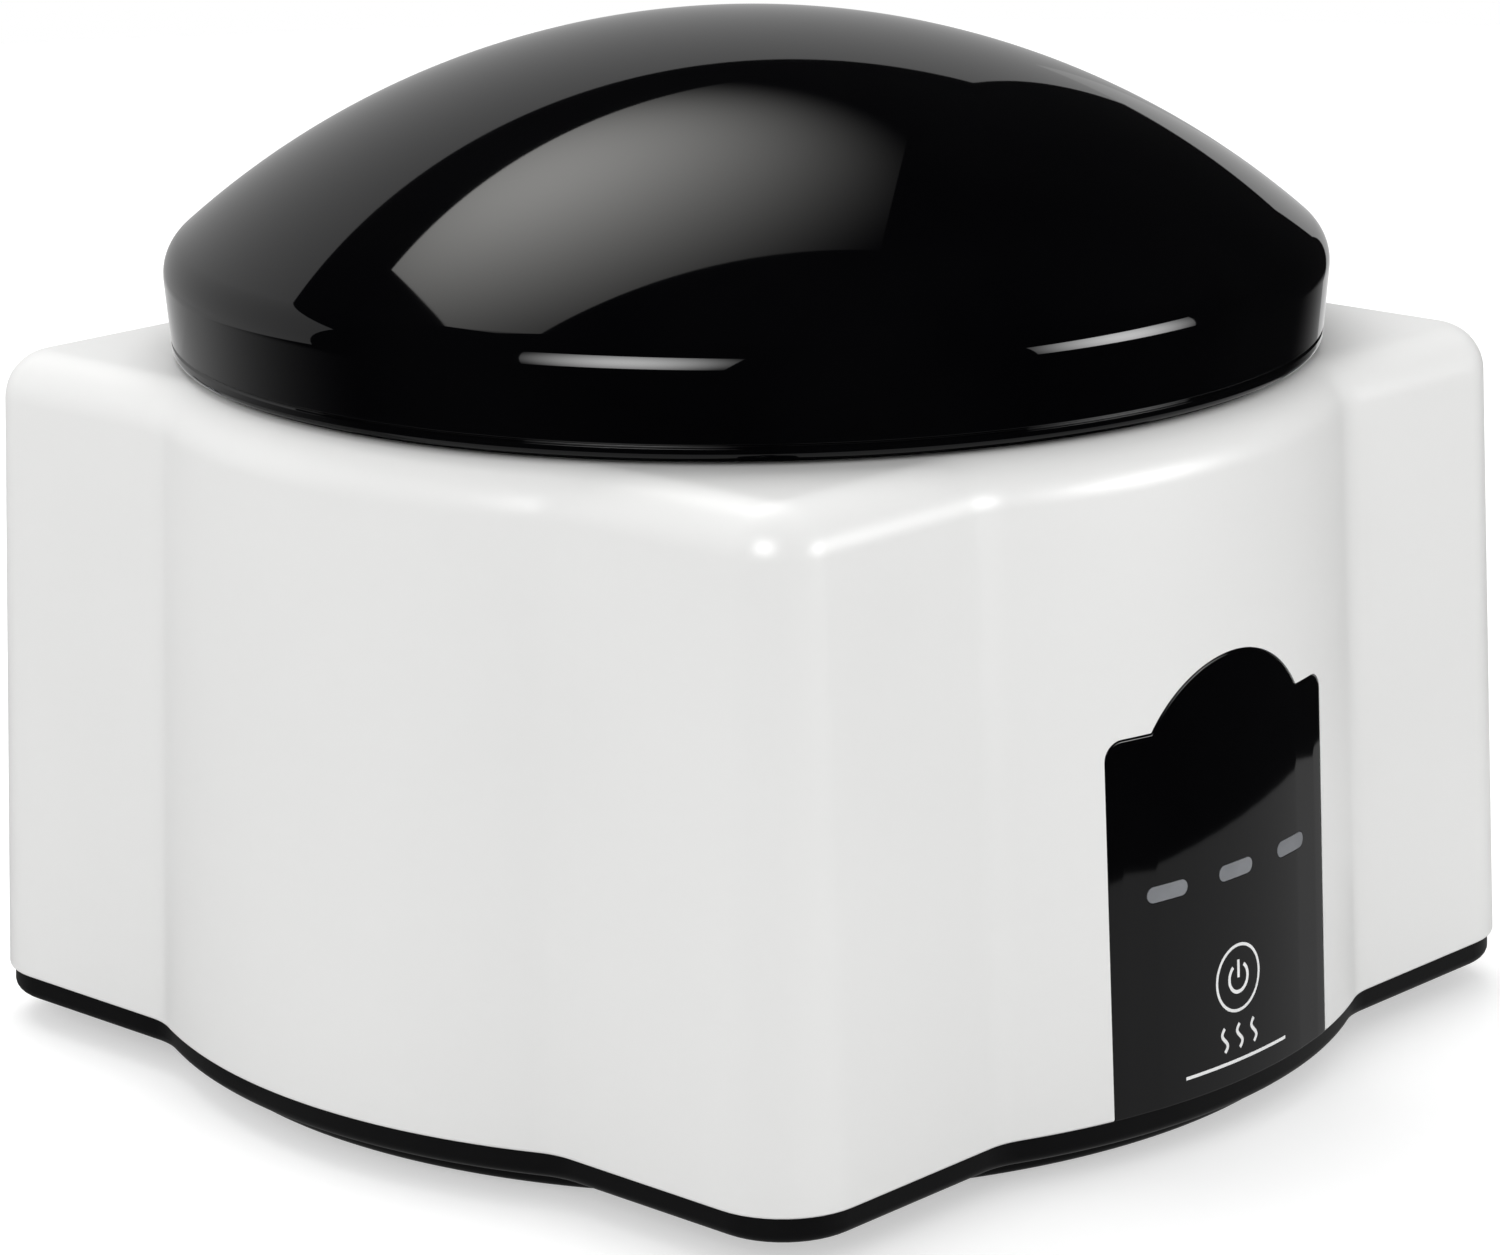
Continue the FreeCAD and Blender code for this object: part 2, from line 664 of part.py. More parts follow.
def make_thermostat_screws():
    """Two screws through the thermostat's ears into the clamp."""
    screws = []
    for side in (-1, 1):
        seat = Vector(side * THERMOSTAT_EAR_PITCH / 2, 0, CLAMP_Z - THERMOSTAT_EAR_T)
        length = THERMOSTAT_EAR_T + CLAMP_T
        screws.append(upright_screw(SCREW_R, length, SCREW_HEAD_R, SCREW_HEAD_H, seat))
    return Part.makeCompound(screws)


def make_insulation_sleeve():
    """Felt sleeve round the bowl, under its flange."""
    high_z = BASIN_Z - BASIN_T - FELT_GAP
    low_z = high_z - FELT_H
    low_r = basin_profile_radius(low_z) + BASIN_T + FELT_GAP
    high_r = basin_profile_radius(high_z) + BASIN_T + FELT_GAP
    return turned([(low_r, low_z), (low_r + FELT_T, low_z), (high_r + FELT_T, high_z), (high_r, high_z)])


# Control panel and the parts behind it


def make_control_panel():
    """Gloss sheet set flush into the front bulge, with three status windows."""
    top_z = CASING_Z + PANEL_SHOULDER_H + 2 * PANEL_ARCH_H
    sheet = drafted(0, CASING_Z, top_z).cut(drafted(PANEL_T, CASING_Z, top_z))
    panel = sheet.common(panel_prism(0, CASING_Z))
    windows = [window_bar(x, WINDOW_CLEAR, -BULGE_R, DISPLAY_Y) for x in WINDOW_XS]
    return panel.cut(windows)


def make_panel_carrier():
    """Inner frame behind the panel, with openings for light and touch and two board posts."""
    low_z = LIP_TOP_Z + CARRIER_RAISE
    top_z = CASING_Z + PANEL_SHOULDER_H + 2 * PANEL_ARCH_H + CARRIER_MARGIN
    frame = drafted(PANEL_T, low_z, top_z).cut(drafted(PANEL_T + CARRIER_T, low_z, top_z))
    frame = frame.common(panel_prism(CARRIER_MARGIN, low_z))
    room = drafted(PANEL_T + CARRIER_T / 2, low_z, top_z)
    posts = []
    holes = [window_bar(x, 2 * WINDOW_CLEAR, -BULGE_R, DISPLAY_Y) for x in WINDOW_XS]
    along = Vector(0, 1, 0)
    holes.append(rod(TOUCH_R + TOUCH_CLEAR, BULGE_R, Vector(0, -BULGE_R, TOUCH_Z), along))
    for side in (-1, 1):
        x = side * DISPLAY_POST_SPREAD / 2
        post = rod(DISPLAY_POST_R, BULGE_R + DISPLAY_Y, Vector(x, -BULGE_R, DISPLAY_POST_Z), along)
        posts.append(post.common(room))
        depth = SMALL_SCREW_L - BOARD_T
        hole_start = Vector(x, DISPLAY_Y - depth, DISPLAY_POST_Z)
        holes.append(rod(SMALL_SCREW_R + SCREW_CLEAR, depth, hole_start, along))
    return joined([frame] + posts).cut(holes)


def make_light_guide():
    """Clear rail with three bars that end flush in the panel's windows."""
    rear_y = DISPLAY_Y - LED_H - LED_GAP
    bars = [window_bar(x, 0, -BULGE_R, rear_y) for x in WINDOW_XS]
    rail_low = Vector(-WINDOW_PITCH, rear_y - RAIL_T, WINDOW_Z - WINDOW_TALL / 2)
    rail = Part.makeBox(2 * WINDOW_PITCH, RAIL_T, WINDOW_TALL, rail_low)
    return joined(bars + [rail]).common(drafted(0, CASING_Z, CASING_Z + PANEL_SHOULDER_H))


def display_low_z():
    """Lower edge of the display board."""
    return CASING_Z + DISPLAY_RAISE


def make_display_board():
    """Upright board behind the carrier."""
    board = Part.makeBox(
        DISPLAY_W, BOARD_T, DISPLAY_TALL, Vector(-DISPLAY_W / 2, DISPLAY_Y, display_low_z())
    )
    holes = []
    for side in (-1, 1):
        start = Vector(side * DISPLAY_POST_SPREAD / 2, DISPLAY_Y, DISPLAY_POST_Z)
        holes.append(rod(SMALL_SCREW_R + SCREW_CLEAR, BOARD_T, start, Vector(0, 1, 0)))
    return board.cut(holes)


def make_status_leds():
    """One light behind each window."""
    lights = []
    for x in WINDOW_XS:
        low = Vector(x - LED_W / 2, DISPLAY_Y - LED_H, WINDOW_Z - WINDOW_TALL / 2)
        lights.append(Part.makeBox(LED_W, LED_H, WINDOW_TALL, low))
    return Part.makeCompound(lights)


def make_touch_pad():
    """Conductive foam between the board and the back of the panel."""
    pad = rod(TOUCH_R, BULGE_R + DISPLAY_Y, Vector(0, -BULGE_R, TOUCH_Z), Vector(0, 1, 0))
    return pad.common(drafted(PANEL_T, CASING_Z, CASING_Z + PANEL_SHOULDER_H))


def small_screw(seat, direction):
    """Small screw whose shank points along a direction, with its head behind the seat."""
    head = rod(SMALL_HEAD_R, SMALL_HEAD_H, seat, direction * -1)
    return joined([head, rod(SMALL_SCREW_R, SMALL_SCREW_L, seat, direction)])


def make_display_screws():
    """Two screws from behind the display board into the carrier's posts."""
    screws = []
    for side in (-1, 1):
        seat = Vector(side * DISPLAY_POST_SPREAD / 2, DISPLAY_Y + BOARD_T, DISPLAY_POST_Z)
        screws.append(small_screw(seat, Vector(0, -1, 0)))
    return Part.makeCompound(screws)


# Main board


def board_holes():
    """Plan positions of the main board's screws."""
    x = BOARD_W / 2 - BOARD_POST_INSET
    y = BOARD_L / 2 - BOARD_POST_INSET
    return [(sx * x, BOARD_MIDDLE_Y + sy * y) for sx in (-1, 1) for sy in (-1, 1)]


def make_main_board():
    """Power board on the base's posts."""
    board = block(BOARD_W, BOARD_L, BOARD_T, Vector(0, BOARD_MIDDLE_Y, BOARD_Z))
    hole_r = SMALL_SCREW_R + SCREW_CLEAR
    return board.cut([disc(hole_r, BOARD_T, Vector(x, y, BOARD_Z)) for x, y in board_holes()])


def make_board_screws():
    """Screws through the main board into the posts."""
    return Part.makeCompound(
        [small_screw(Vector(x, y, BOARD_TOP_Z), Vector(0, 0, -1)) for x, y in board_holes()]
    )


def plug_places():
    """Plan position of each plug on the main board, by what it connects."""
    rear = BOARD_REAR_Y - PLUG_INSET
    front = BOARD_FRONT_Y + PLUG_INSET
    return {
        "inlet": (0, rear),
        "heater_left": (-TAB_SPREAD, rear),
        "heater_right": (TAB_SPREAD, rear),
        "thermostat": (TAB_SPREAD, front),
        "ribbon": (0, BOARD_FRONT_Y + PLUG_L / 2),
    }


def make_board_components():
    """Plugs, capacitor, coil, chip and switching transistor on the main board."""
    parts = []
    for name, (x, y) in plug_places().items():
        width = RIBBON_W if name == "ribbon" else PLUG_W
        parts.append(block(width, PLUG_L, PLUG_H, Vector(x, y, BOARD_TOP_Z)))
    middle = BOARD_MIDDLE_Y
    parts.append(disc(CAPACITOR_R, CAPACITOR_H, Vector(-BOARD_W / 4, middle, BOARD_TOP_Z)))
    parts.append(disc(COIL_R, COIL_H, Vector(0, middle, BOARD_TOP_Z)))
    parts.append(block(CHIP_W, CHIP_W, CHIP_H, Vector(BOARD_W / 4, middle, BOARD_TOP_Z)))
    transistor = Vector(-BOARD_W / 4, BOARD_FRONT_Y + PLUG_INSET, BOARD_TOP_Z)
    parts.append(block(TRANSISTOR_W, TRANSISTOR_T, CAPACITOR_H, transistor))
    return Part.makeCompound(parts)


# Inlet


def make_dc_inlet():
    """Round supply socket: flange, barrel, stepped bore with a centre pin and two solder tags."""
    inward = Vector(0, -1, 0)
    face = Vector(0, INLET_FACE_Y, INLET_Z)
    body = joined(
        [
            rod(INLET_FLANGE_R, INLET_FLANGE_T, face, inward),
            rod(INLET_BARREL_R, INLET_BARREL_L, Vector(0, INLET_SEAT_Y, INLET_Z), inward),
        ]
    )
    step = Vector(0, INLET_FACE_Y - INLET_MOUTH_L, INLET_Z)
    body = body.cut(
        [
            rod(INLET_MOUTH_R, INLET_MOUTH_L, face, inward),
            rod(INLET_CONTACT_R, INLET_CONTACT_L, step, inward),
        ]
    )
    pin_tip = step - Vector(0, INLET_PIN_R, 0)
    pieces = [body, rod(INLET_PIN_R, INLET_CONTACT_L + INLET_TAG_W, pin_tip, inward)]
    for side in (-1, 1):
        low = Vector(
            side * INLET_TAG_PITCH / 2 - INLET_TAG_W / 2, INLET_REAR_Y - INLET_TAG_L, INLET_Z - TAB_T / 2
        )
        pieces.append(Part.makeBox(INLET_TAG_W, INLET_TAG_L + INLET_TAG_W, TAB_T, low))
    return joined(pieces)


def make_inlet_nut():
    """Hexagon nut on the inlet's barrel, behind the wall."""
    circle = NUT_FLATS / math.sqrt(3)
    front = INLET_SEAT_Y - INLET_PAD_T
    corners = []
    for number in range(7):
        turn = math.radians(60 * number)
        corners.append(Vector(circle * math.cos(turn), front, INLET_Z + circle * math.sin(turn)))
    nut = Part.Face(Part.makePolygon(corners)).extrude(Vector(0, -NUT_T, 0))
    hole = rod(INLET_BARREL_R + NUT_CLEAR, NUT_T, Vector(0, front, INLET_Z), Vector(0, -1, 0))
    return nut.cut(hole)


# Inner wiring


def lead(points):
    """Round lead along straight runs joined by tangent arcs."""
    edges = []
    start = points[0]
    for before, corner, after in zip(points, points[1:], points[2:]):
        arrive = (corner - before).normalize()
        leave = (after - corner).normalize()
        half_turn = arrive.getAngle(leave) / 2
        room = 0.45 * min((corner - before).Length, (after - corner).Length)
        setback = min(LEAD_BEND * math.tan(half_turn), room)
        radius = setback / math.tan(half_turn)
        entry = corner - arrive * setback
        leaving = corner + leave * setback
        inward = (leave - arrive).normalize()
        middle = corner + inward * (radius / math.cos(half_turn) - radius)
        edges.append(Part.LineSegment(start, entry).toShape())
        edges.append(Part.Arc(entry, middle, leaving).toShape())
        start = leaving
    edges.append(Part.LineSegment(start, points[-1]).toShape())
    path = Part.Wire(edges)
    section = Part.Wire([Part.makeCircle(LEAD_R, points[0], points[1] - points[0])])
    return path.makePipeShell([section], True, False)


def plug_top(name, offset=0.0):
    """Point just above a plug of the main board."""
    x, y = plug_places()[name]
    return Vector(x + offset, y, BOARD_TOP_Z + PLUG_H + LEAD_GAP)


def make_inlet_leads():
    """Pair of leads from the inlet's tags down to the main board."""
    leads = []
    for side in (-1, 1):
        end = plug_top("inlet", side * INLET_TAG_PITCH / 2)
        start = Vector(end.x, INLET_REAR_Y - INLET_TAG_L - LEAD_GAP, INLET_Z)
        leads.append(lead([start, Vector(end.x, end.y, INLET_Z), end]))
    return Part.makeCompound(leads)


def make_heater_leads():
    """Leads from the heater's tabs down to the main board."""
    leads = []
    for name in ("heater_left", "heater_right"):
        end = plug_top(name)
        start = Vector(end.x, heater_tab_y() + LEAD_GAP, HEATER_Z + HEATER_T / 2)
        leads.append(lead([start, Vector(end.x, end.y, start.z), end]))
    return Part.makeCompound(leads)


def make_thermostat_leads():
    """Leads from the thermostat's pins to the main board."""
    leads = []
    for side in (-1, 1):
        end = plug_top("thermostat", side * PLUG_W / 4)
        pin_z = CLAMP_Z - THERMOSTAT_H - THERMOSTAT_PIN_L - LEAD_GAP
        start = Vector(side * THERMOSTAT_PIN_PITCH / 2, 0, pin_z)
        level = (pin_z + end.z) / 2
        leads.append(lead([start, Vector(start.x, start.y, level), Vector(end.x, end.y, level), end]))
    return Part.makeCompound(leads)


def make_sensor_leads():
    """Lead from the sensor down to the main board."""
    out = at(HEATER_R + SENSOR_OUT + LEAD_GAP, SENSOR_ANGLE_DEG, HEATER_Z + HEATER_T / 2)
    corner = at(HEATER_R + SENSOR_OUT + LEAD_BEND, SENSOR_ANGLE_DEG, out.z)
    return lead([out, corner, Vector(corner.x, corner.y, BOARD_TOP_Z + LEAD_GAP)])


def make_display_ribbon():
    """Flat ribbon that hangs a little between the display board and the main board."""
    front = DISPLAY_Y + BOARD_T + LEAD_GAP
    rear = BOARD_FRONT_Y - LEAD_GAP
    end_z = display_low_z() + RIBBON_H

    def arc(lift):
        return Part.Arc(
            Vector(-RIBBON_W / 2, front, end_z + lift),
            Vector(-RIBBON_W / 2, (front + rear) / 2, end_z + lift - RIBBON_SAG),
            Vector(-RIBBON_W / 2, rear, end_z + lift),
        ).toShape()

    low = arc(0)
    high = arc(RIBBON_T)
    sides = [
        Part.LineSegment(low.Vertexes[index].Point, high.Vertexes[index].Point).toShape() for index in (0, 1)
    ]
    face = Part.Face(Part.Wire(Part.__sortEdges__([low, sides[0], high, sides[1]])))
    return face.extrude(Vector(RIBBON_W, 0, 0))


# Finger plate


def finger_angles():
    """Angles of the finger holes, an arc that opens towards the panel."""
    first = 90 - FINGER_PITCH_DEG * (FINGER_COUNT - 1) / 2
    return [first + FINGER_PITCH_DEG * number for number in range(FINGER_COUNT)]


def make_finger_plate():
    """Lift-out plate: flange on the casing, spigot in the mouth, dished web with finger holes."""
    spigot_r = MOUTH_R - SPIGOT_CLEAR
    web_z = FLANGE_TOP_Z - PLATE_DROP - PLATE_T
    inner_r = spigot_r - SPIGOT_T
    body = turned(
        [
            (0, web_z),
            (inner_r, web_z),
            (inner_r, TOP_Z - SPIGOT_DEPTH),
            (spigot_r, TOP_Z - SPIGOT_DEPTH),
            (spigot_r, TOP_Z),
            (FLANGE_R, TOP_Z),
            (FLANGE_R, FLANGE_TOP_Z),
            (inner_r, FLANGE_TOP_Z),
            (inner_r, FLANGE_TOP_Z - PLATE_DROP),
            (0, FLANGE_TOP_Z - PLATE_DROP),
        ]
    )
    centres = [at(MOUTH_R - FINGER_INSET, angle, web_z - FINGER_SKIRT_H) for angle in finger_angles()]
    tall = FINGER_SKIRT_H + PLATE_T
    skirts = [disc(FINGER_R + FINGER_SKIRT_T, tall, centre) for centre in centres]
    holes = [disc(FINGER_R, tall, centre) for centre in centres]
    plate = joined([body] + skirts).cut(holes)
    rims = []
    for edge in edges_at(plate, FLANGE_TOP_Z - PLATE_DROP):
        if abs(edge.Curve.Radius - FINGER_R) < 1e-4:
            rims.append(edge)
    return plate.makeFillet(FINGER_EDGE_R, rims)


# Lid


def dome_solid(radius, low_r, low_z, side_z, apex_z, shoulder_r):
    """Solid dome: a leaning side up to a rounded shoulder, then a spherical cap."""
    rise = apex_z - side_z
    sphere_r = (radius**2 + rise**2) / (2 * rise)
    half_turn = math.asin(radius / sphere_r) / 2
    middle = Vector(sphere_r * math.sin(half_turn), 0, apex_z - sphere_r * (1 - math.cos(half_turn)))
    foot = Vector(0, 0, low_z)
    low = Vector(low_r, 0, low_z)
    side = Vector(radius, 0, side_z)
    apex = Vector(0, 0, apex_z)
    edges = [
        Part.LineSegment(foot, low).toShape(),
        Part.LineSegment(low, side).toShape(),
        Part.Arc(side, middle, apex).toShape(),
        Part.LineSegment(apex, foot).toShape(),
    ]
    solid = Part.Face(Part.Wire(edges)).revolve(Vector(0, 0, 0), Vector(0, 0, 1), 360)
    return solid.makeFillet(shoulder_r, edges_at(solid, side_z))


def make_lid_dome():
    """Gloss dome shell whose skirt reaches down round the finger plate's flange."""
    outer = dome_solid(LID_R, LID_SEAM_R, LID_Z, LID_Z + LID_SIDE_H, LID_Z + LID_RISE, LID_SHOULDER_R)
    outer = outer.makeFillet(LID_RIM_R, edges_at(outer, LID_Z))
    inner = dome_solid(
        LID_BORE_R,
        LID_BORE_R,
        LID_Z,
        LID_Z + LID_SIDE_H - LID_WALL / 2,
        LID_Z + LID_RISE - LID_WALL,
        LID_SHOULDER_R - LID_WALL,
    )
    return outer.cut(inner)


def make_lid_liner():
    """Inner wall of the lid: a flat ring over the seal and a shallow dome."""
    low_z = FLANGE_TOP_Z + SEAL_T
    ring_r = LID_BORE_R - LINER_GAP
    dome_r = LID_BORE_R - LINER_LEDGE
    plate = ring(dome_r - LINER_T, ring_r, LINER_T, low_z)
    outer = dome_solid(dome_r, dome_r, low_z, low_z + LINER_T, low_z + LINER_T + LINER_RISE, LINER_T / 2)
    inside_r = dome_r - LINER_T
    inner = dome_solid(inside_r, inside_r, low_z, low_z + LINER_T / 2, low_z + LINER_RISE, LINER_T / 4)
    return joined([plate, outer]).cut(inner)


def make_lid_seal():
    """Silicone ring under the liner, which rests on the finger plate's flange."""
    outer_r = FLANGE_R - SEAL_EDGE
    return ring(outer_r - SEAL_W, outer_r, SEAL_T, FLANGE_TOP_Z)


MAKERS = {
    "casing": make_casing,
    "base_tray": make_base_tray,
    "rubber_feet": make_rubber_feet,
    "base_screws": make_base_screws,
    "control_panel": make_control_panel,
    "panel_carrier": make_panel_carrier,
    "light_guide": make_light_guide,
    "display_board": make_display_board,
    "status_leds": make_status_leds,
    "touch_pad": make_touch_pad,
    "display_screws": make_display_screws,
    "basin": make_basin,
    "basin_gasket": make_basin_gasket,
    "basin_screws": make_basin_screws,
    "heater_plate": make_heater_plate,
    "heater_clamp": make_heater_clamp,
    "heater_screws": make_heater_screws,
    "thermostat": make_thermostat,
    "thermostat_screws": make_thermostat_screws,
    "temperature_sensor": make_temperature_sensor,
    "insulation_sleeve": make_insulation_sleeve,
    "main_board": make_main_board,
    "board_components": make_board_components,
    "board_screws": make_board_screws,
    "dc_inlet": make_dc_inlet,
    "inlet_nut": make_inlet_nut,
    "inlet_leads": make_inlet_leads,
    "heater_leads": make_heater_leads,
    "thermostat_leads": make_thermostat_leads,
    "sensor_leads": make_sensor_leads,
    "display_ribbon": make_display_ribbon,
    "finger_plate": make_finger_plate,
    "lid_dome": make_lid_dome,
    "lid_liner": make_lid_liner,
    "lid_seal": make_lid_seal,
}

os.makedirs("parts", exist_ok=True)
for name, maker in MAKERS.items():
    shape = maker()
    shape.exportStep(f"parts/{name}.step")
    print(name, len(shape.Solids), shape.isValid(), round(shape.Volume, 1))
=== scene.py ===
# %% [markdown]
# # Dressing a steam soak-off pot
#
# The pot takes gel polish off fingernails. A hand rests on a black plate, five fingertips go
# through its holes into a heated bowl, and a dome lid keeps the steam in. The CAD frame gives
# every piece at its real size and place, in metres, and this lesson adds what the eye sees:
# smooth gloss mouldings, real finishes and a small photo studio.

# %% Load the frame
import json
import math

import bmesh
import bpy
from mathutils import Matrix, Vector


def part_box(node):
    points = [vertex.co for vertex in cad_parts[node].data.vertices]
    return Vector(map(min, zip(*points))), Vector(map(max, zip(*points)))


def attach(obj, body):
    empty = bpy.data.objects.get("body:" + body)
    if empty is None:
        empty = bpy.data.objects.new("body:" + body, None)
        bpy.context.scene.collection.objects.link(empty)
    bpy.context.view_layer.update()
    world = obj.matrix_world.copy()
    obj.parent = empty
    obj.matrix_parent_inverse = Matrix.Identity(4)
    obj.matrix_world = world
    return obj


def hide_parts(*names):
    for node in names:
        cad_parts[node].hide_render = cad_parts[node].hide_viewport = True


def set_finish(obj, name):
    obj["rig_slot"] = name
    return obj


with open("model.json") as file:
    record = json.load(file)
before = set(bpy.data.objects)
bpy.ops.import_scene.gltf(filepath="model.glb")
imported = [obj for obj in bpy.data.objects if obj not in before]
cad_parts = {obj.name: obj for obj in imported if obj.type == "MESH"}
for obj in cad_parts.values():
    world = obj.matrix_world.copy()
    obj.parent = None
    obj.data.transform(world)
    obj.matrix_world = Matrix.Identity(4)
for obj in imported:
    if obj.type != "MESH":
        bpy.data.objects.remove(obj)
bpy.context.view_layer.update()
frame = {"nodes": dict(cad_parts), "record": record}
nodes = frame["nodes"]
MM = 0.001
print("CAD nodes:", len(nodes))

# %% [markdown]
# ## Camera
#
# The photograph looks at one corner of the pot from a little above the lid's edge. A camera is a
# place, a direction and a lens. Here the place is given by an azimuth, an elevation and a
# distance from a point inside the pot, and a small roll tips the horizon as in the photograph.

# %% Camera
PHOTO_W = 1500
PHOTO_H = 1255
AIM = Vector((0, 0, 48.3 * MM))
AZIMUTH = math.radians(-47.02)
ELEVATION = math.radians(15.76)
ROLL = math.radians(0.7)
DISTANCE = 720.2 * MM
LENS_MM = 118.64
AIM_PIXEL = Vector((751.5, 677.9))

back = Vector((
    math.sin(AZIMUTH) * math.cos(ELEVATION),
    -math.cos(AZIMUTH) * math.cos(ELEVATION),
    math.sin(ELEVATION),
))
level_right = (-back).cross(Vector((0, 0, 1))).normalized()
level_up = back.cross(level_right)
right = math.cos(ROLL) * level_right - math.sin(ROLL) * level_up
up = math.sin(ROLL) * level_right + math.cos(ROLL) * level_up

camera_data = bpy.data.cameras.new("photo_camera")
camera_data.lens = LENS_MM
camera_data.shift_x = (PHOTO_W / 2 - AIM_PIXEL.x) / PHOTO_W
camera_data.shift_y = (AIM_PIXEL.y - PHOTO_H / 2) / PHOTO_W
camera = bpy.data.objects.new("photo_camera", camera_data)
bpy.context.scene.collection.objects.link(camera)
turned = Matrix((right, up, back)).transposed().to_4x4()
camera.matrix_world = Matrix.Translation(AIM + back * DISTANCE) @ turned
bpy.context.scene.camera = camera
print("camera at mm:", [round(value / MM) for value in camera.matrix_world.translation])

# %% [markdown]
# ## Modelling by hand, in code
#
# Every new piece follows the same few moves: add a primitive, enter edit mode, shape it, leave
# edit mode. Operators act on whatever is selected, and loading left all CAD nodes selected. So
# the first helper clears the selection, and the others wrap moves that come back for several
# pieces.

# %% Helpers for modelling
WELD_GAP = 0.002 * MM
DOUBLES_GAP = 0.001 * MM


def fresh(name):
    """Deselects everything and adds one small plane, open in edit mode, as the start of a piece."""
    bpy.ops.object.select_all(action="DESELECT")
    bpy.ops.mesh.primitive_plane_add(size=MM)
    piece = bpy.context.object
    piece.name = name
    piece.data.name = name
    bpy.ops.object.mode_set(mode="EDIT")
    bpy.ops.mesh.select_mode(type="VERT")
    return piece


def only(piece):
    """Makes one object the only selected and active one."""
    bpy.ops.object.select_all(action="DESELECT")
    piece.select_set(True)
    bpy.context.view_layer.objects.active = piece
    return piece


def draw_path(points):
    """Merges the open plane into one vertex and extrudes it from point to point."""
    bpy.ops.mesh.merge(type="CENTER")
    bpy.ops.transform.translate(value=Vector(points[0]))
    for start, end in zip(points, points[1:]):
        bpy.ops.mesh.extrude_region_move(TRANSFORM_OT_translate={"value": Vector(end) - Vector(start)})
    bpy.ops.mesh.select_all(action="SELECT")


def close_up():
    """Merges doubles, turns all faces outwards and leaves edit mode."""
    bpy.ops.mesh.select_all(action="SELECT")
    bpy.ops.mesh.remove_doubles(threshold=DOUBLES_GAP)
    bpy.ops.mesh.normals_make_consistent(inside=False)
    bpy.ops.object.mode_set(mode="OBJECT")


def spun(name, profile, steps=160):
    """Round piece: a closed profile of radius and height pairs, spun round the Z axis."""
    piece = fresh(name)
    draw_path([(radius, 0, height) for radius, height in profile])
    bpy.ops.mesh.spin(steps=steps, angle=math.tau, center=(0, 0, 0), axis=(0, 0, 1))
    close_up()
    return piece


def boolean(piece, tool, operation):
    """Joins or cuts with another object, which is used up, and merges the doubles that the cut leaves."""
    only(piece)
    step = piece.modifiers.new(operation, "BOOLEAN")
    step.operation = operation
    step.solver = "EXACT"
    step.object = tool
    bpy.ops.object.modifier_apply(modifier=step.name)
    bpy.data.objects.remove(tool)
    bpy.ops.object.mode_set(mode="EDIT")
    bpy.ops.mesh.select_all(action="SELECT")
    bpy.ops.mesh.remove_doubles(threshold=WELD_GAP)
    bpy.ops.object.mode_set(mode="OBJECT")


def joined(pieces):
    """Joins pieces into the first one, with their places moved into the mesh."""
    bpy.ops.object.select_all(action="DESELECT")
    for piece in pieces:
        piece.select_set(True)
    bpy.context.view_layer.objects.active = pieces[0]
    bpy.ops.object.transform_apply(location=True, rotation=True, scale=True)
    bpy.ops.object.join()
    return bpy.context.object


def copies_at(piece, places):
    """Copies a piece modelled at the middle to each place, joins the copies and uses the piece up."""
    copies = []
    for place in places:
        copy = piece.copy()
        copy.data = piece.data.copy()
        bpy.context.scene.collection.objects.link(copy)
        copy.location = place
        copies.append(copy)
    bpy.data.objects.remove(piece)
    return joined(copies)


def smooth(piece, degrees=35):
    """Smooth shading that keeps edges sharper than an angle, weighted so that large flats stay flat."""
    only(piece)
    bpy.ops.object.shade_smooth_by_angle(angle=math.radians(degrees))
    weigh = piece.modifiers.new("weigh", "WEIGHTED_NORMAL")
    weigh.keep_sharp = True
    bpy.ops.object.modifier_apply(modifier=weigh.name)
    return piece


def tell(piece):
    """Prints what a finished piece measures."""
    size = [round(side / MM, 1) for side in piece.dimensions]
    print(f"{piece.name}: {len(piece.data.polygons)} faces, {size} mm")


def arc(centre, radius, start, end, steps):
    """Points round a centre, from one angle to another in degrees, both ends included."""
    turns = [math.radians(start + (end - start) * step / steps) for step in range(steps + 1)]
    return [(centre[0] + radius * math.cos(turn), centre[1] + radius * math.sin(turn)) for turn in turns]


def eased(corners, steps=5):
    """Closed outline whose corners are rounded: each corner is two coordinates and its radius."""
    points = []
    for number, (across, height, radius) in enumerate(corners):
        here = Vector((across, height))
        if radius == 0:
            points.append(tuple(here))
            continue
        before = (Vector(corners[number - 1][:2]) - here).normalized()
        after = (Vector(corners[(number + 1) % len(corners)][:2]) - here).normalized()
        half = before.angle(after) / 2
        centre = here + (before + after).normalized() * radius / math.sin(half)
        start = here + before * radius / math.tan(half) - centre
        end = here + after * radius / math.tan(half) - centre
        for step in range(steps + 1):
            spoke = start.lerp(end, step / steps).normalized()
            points.append(tuple(centre + spoke * radius))
    return points


print("helpers ready")

# %% [markdown]
# ## Casing: the plan outline
#
# Seen from above, the casing is a rounded square joined with a circle, so each side swells into a
# bulge. Where bulge and flat meet, a hollow fillet softens the junction. A formula gives every
# ring of the casing from one inset, so the leaning wall and the rounded top edge share the same
# flow of points.

# %% Casing outline
casing_low, casing_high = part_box("casing")
CASING_FOOT = casing_low.z
CASING_TOP = casing_high.z
BULGE_R = casing_high.x
SIDE = 162 * MM
CORNER_R = 12 * MM
JUNCTION_R = 12 * MM
DRAFT_DEG = 2.5
LEAN = math.tan(math.radians(DRAFT_DEG))
FLAT_STEPS = 3
JUNCTION_STEPS = 8
BULGE_STEPS = 40
CORNER_STEPS = 12


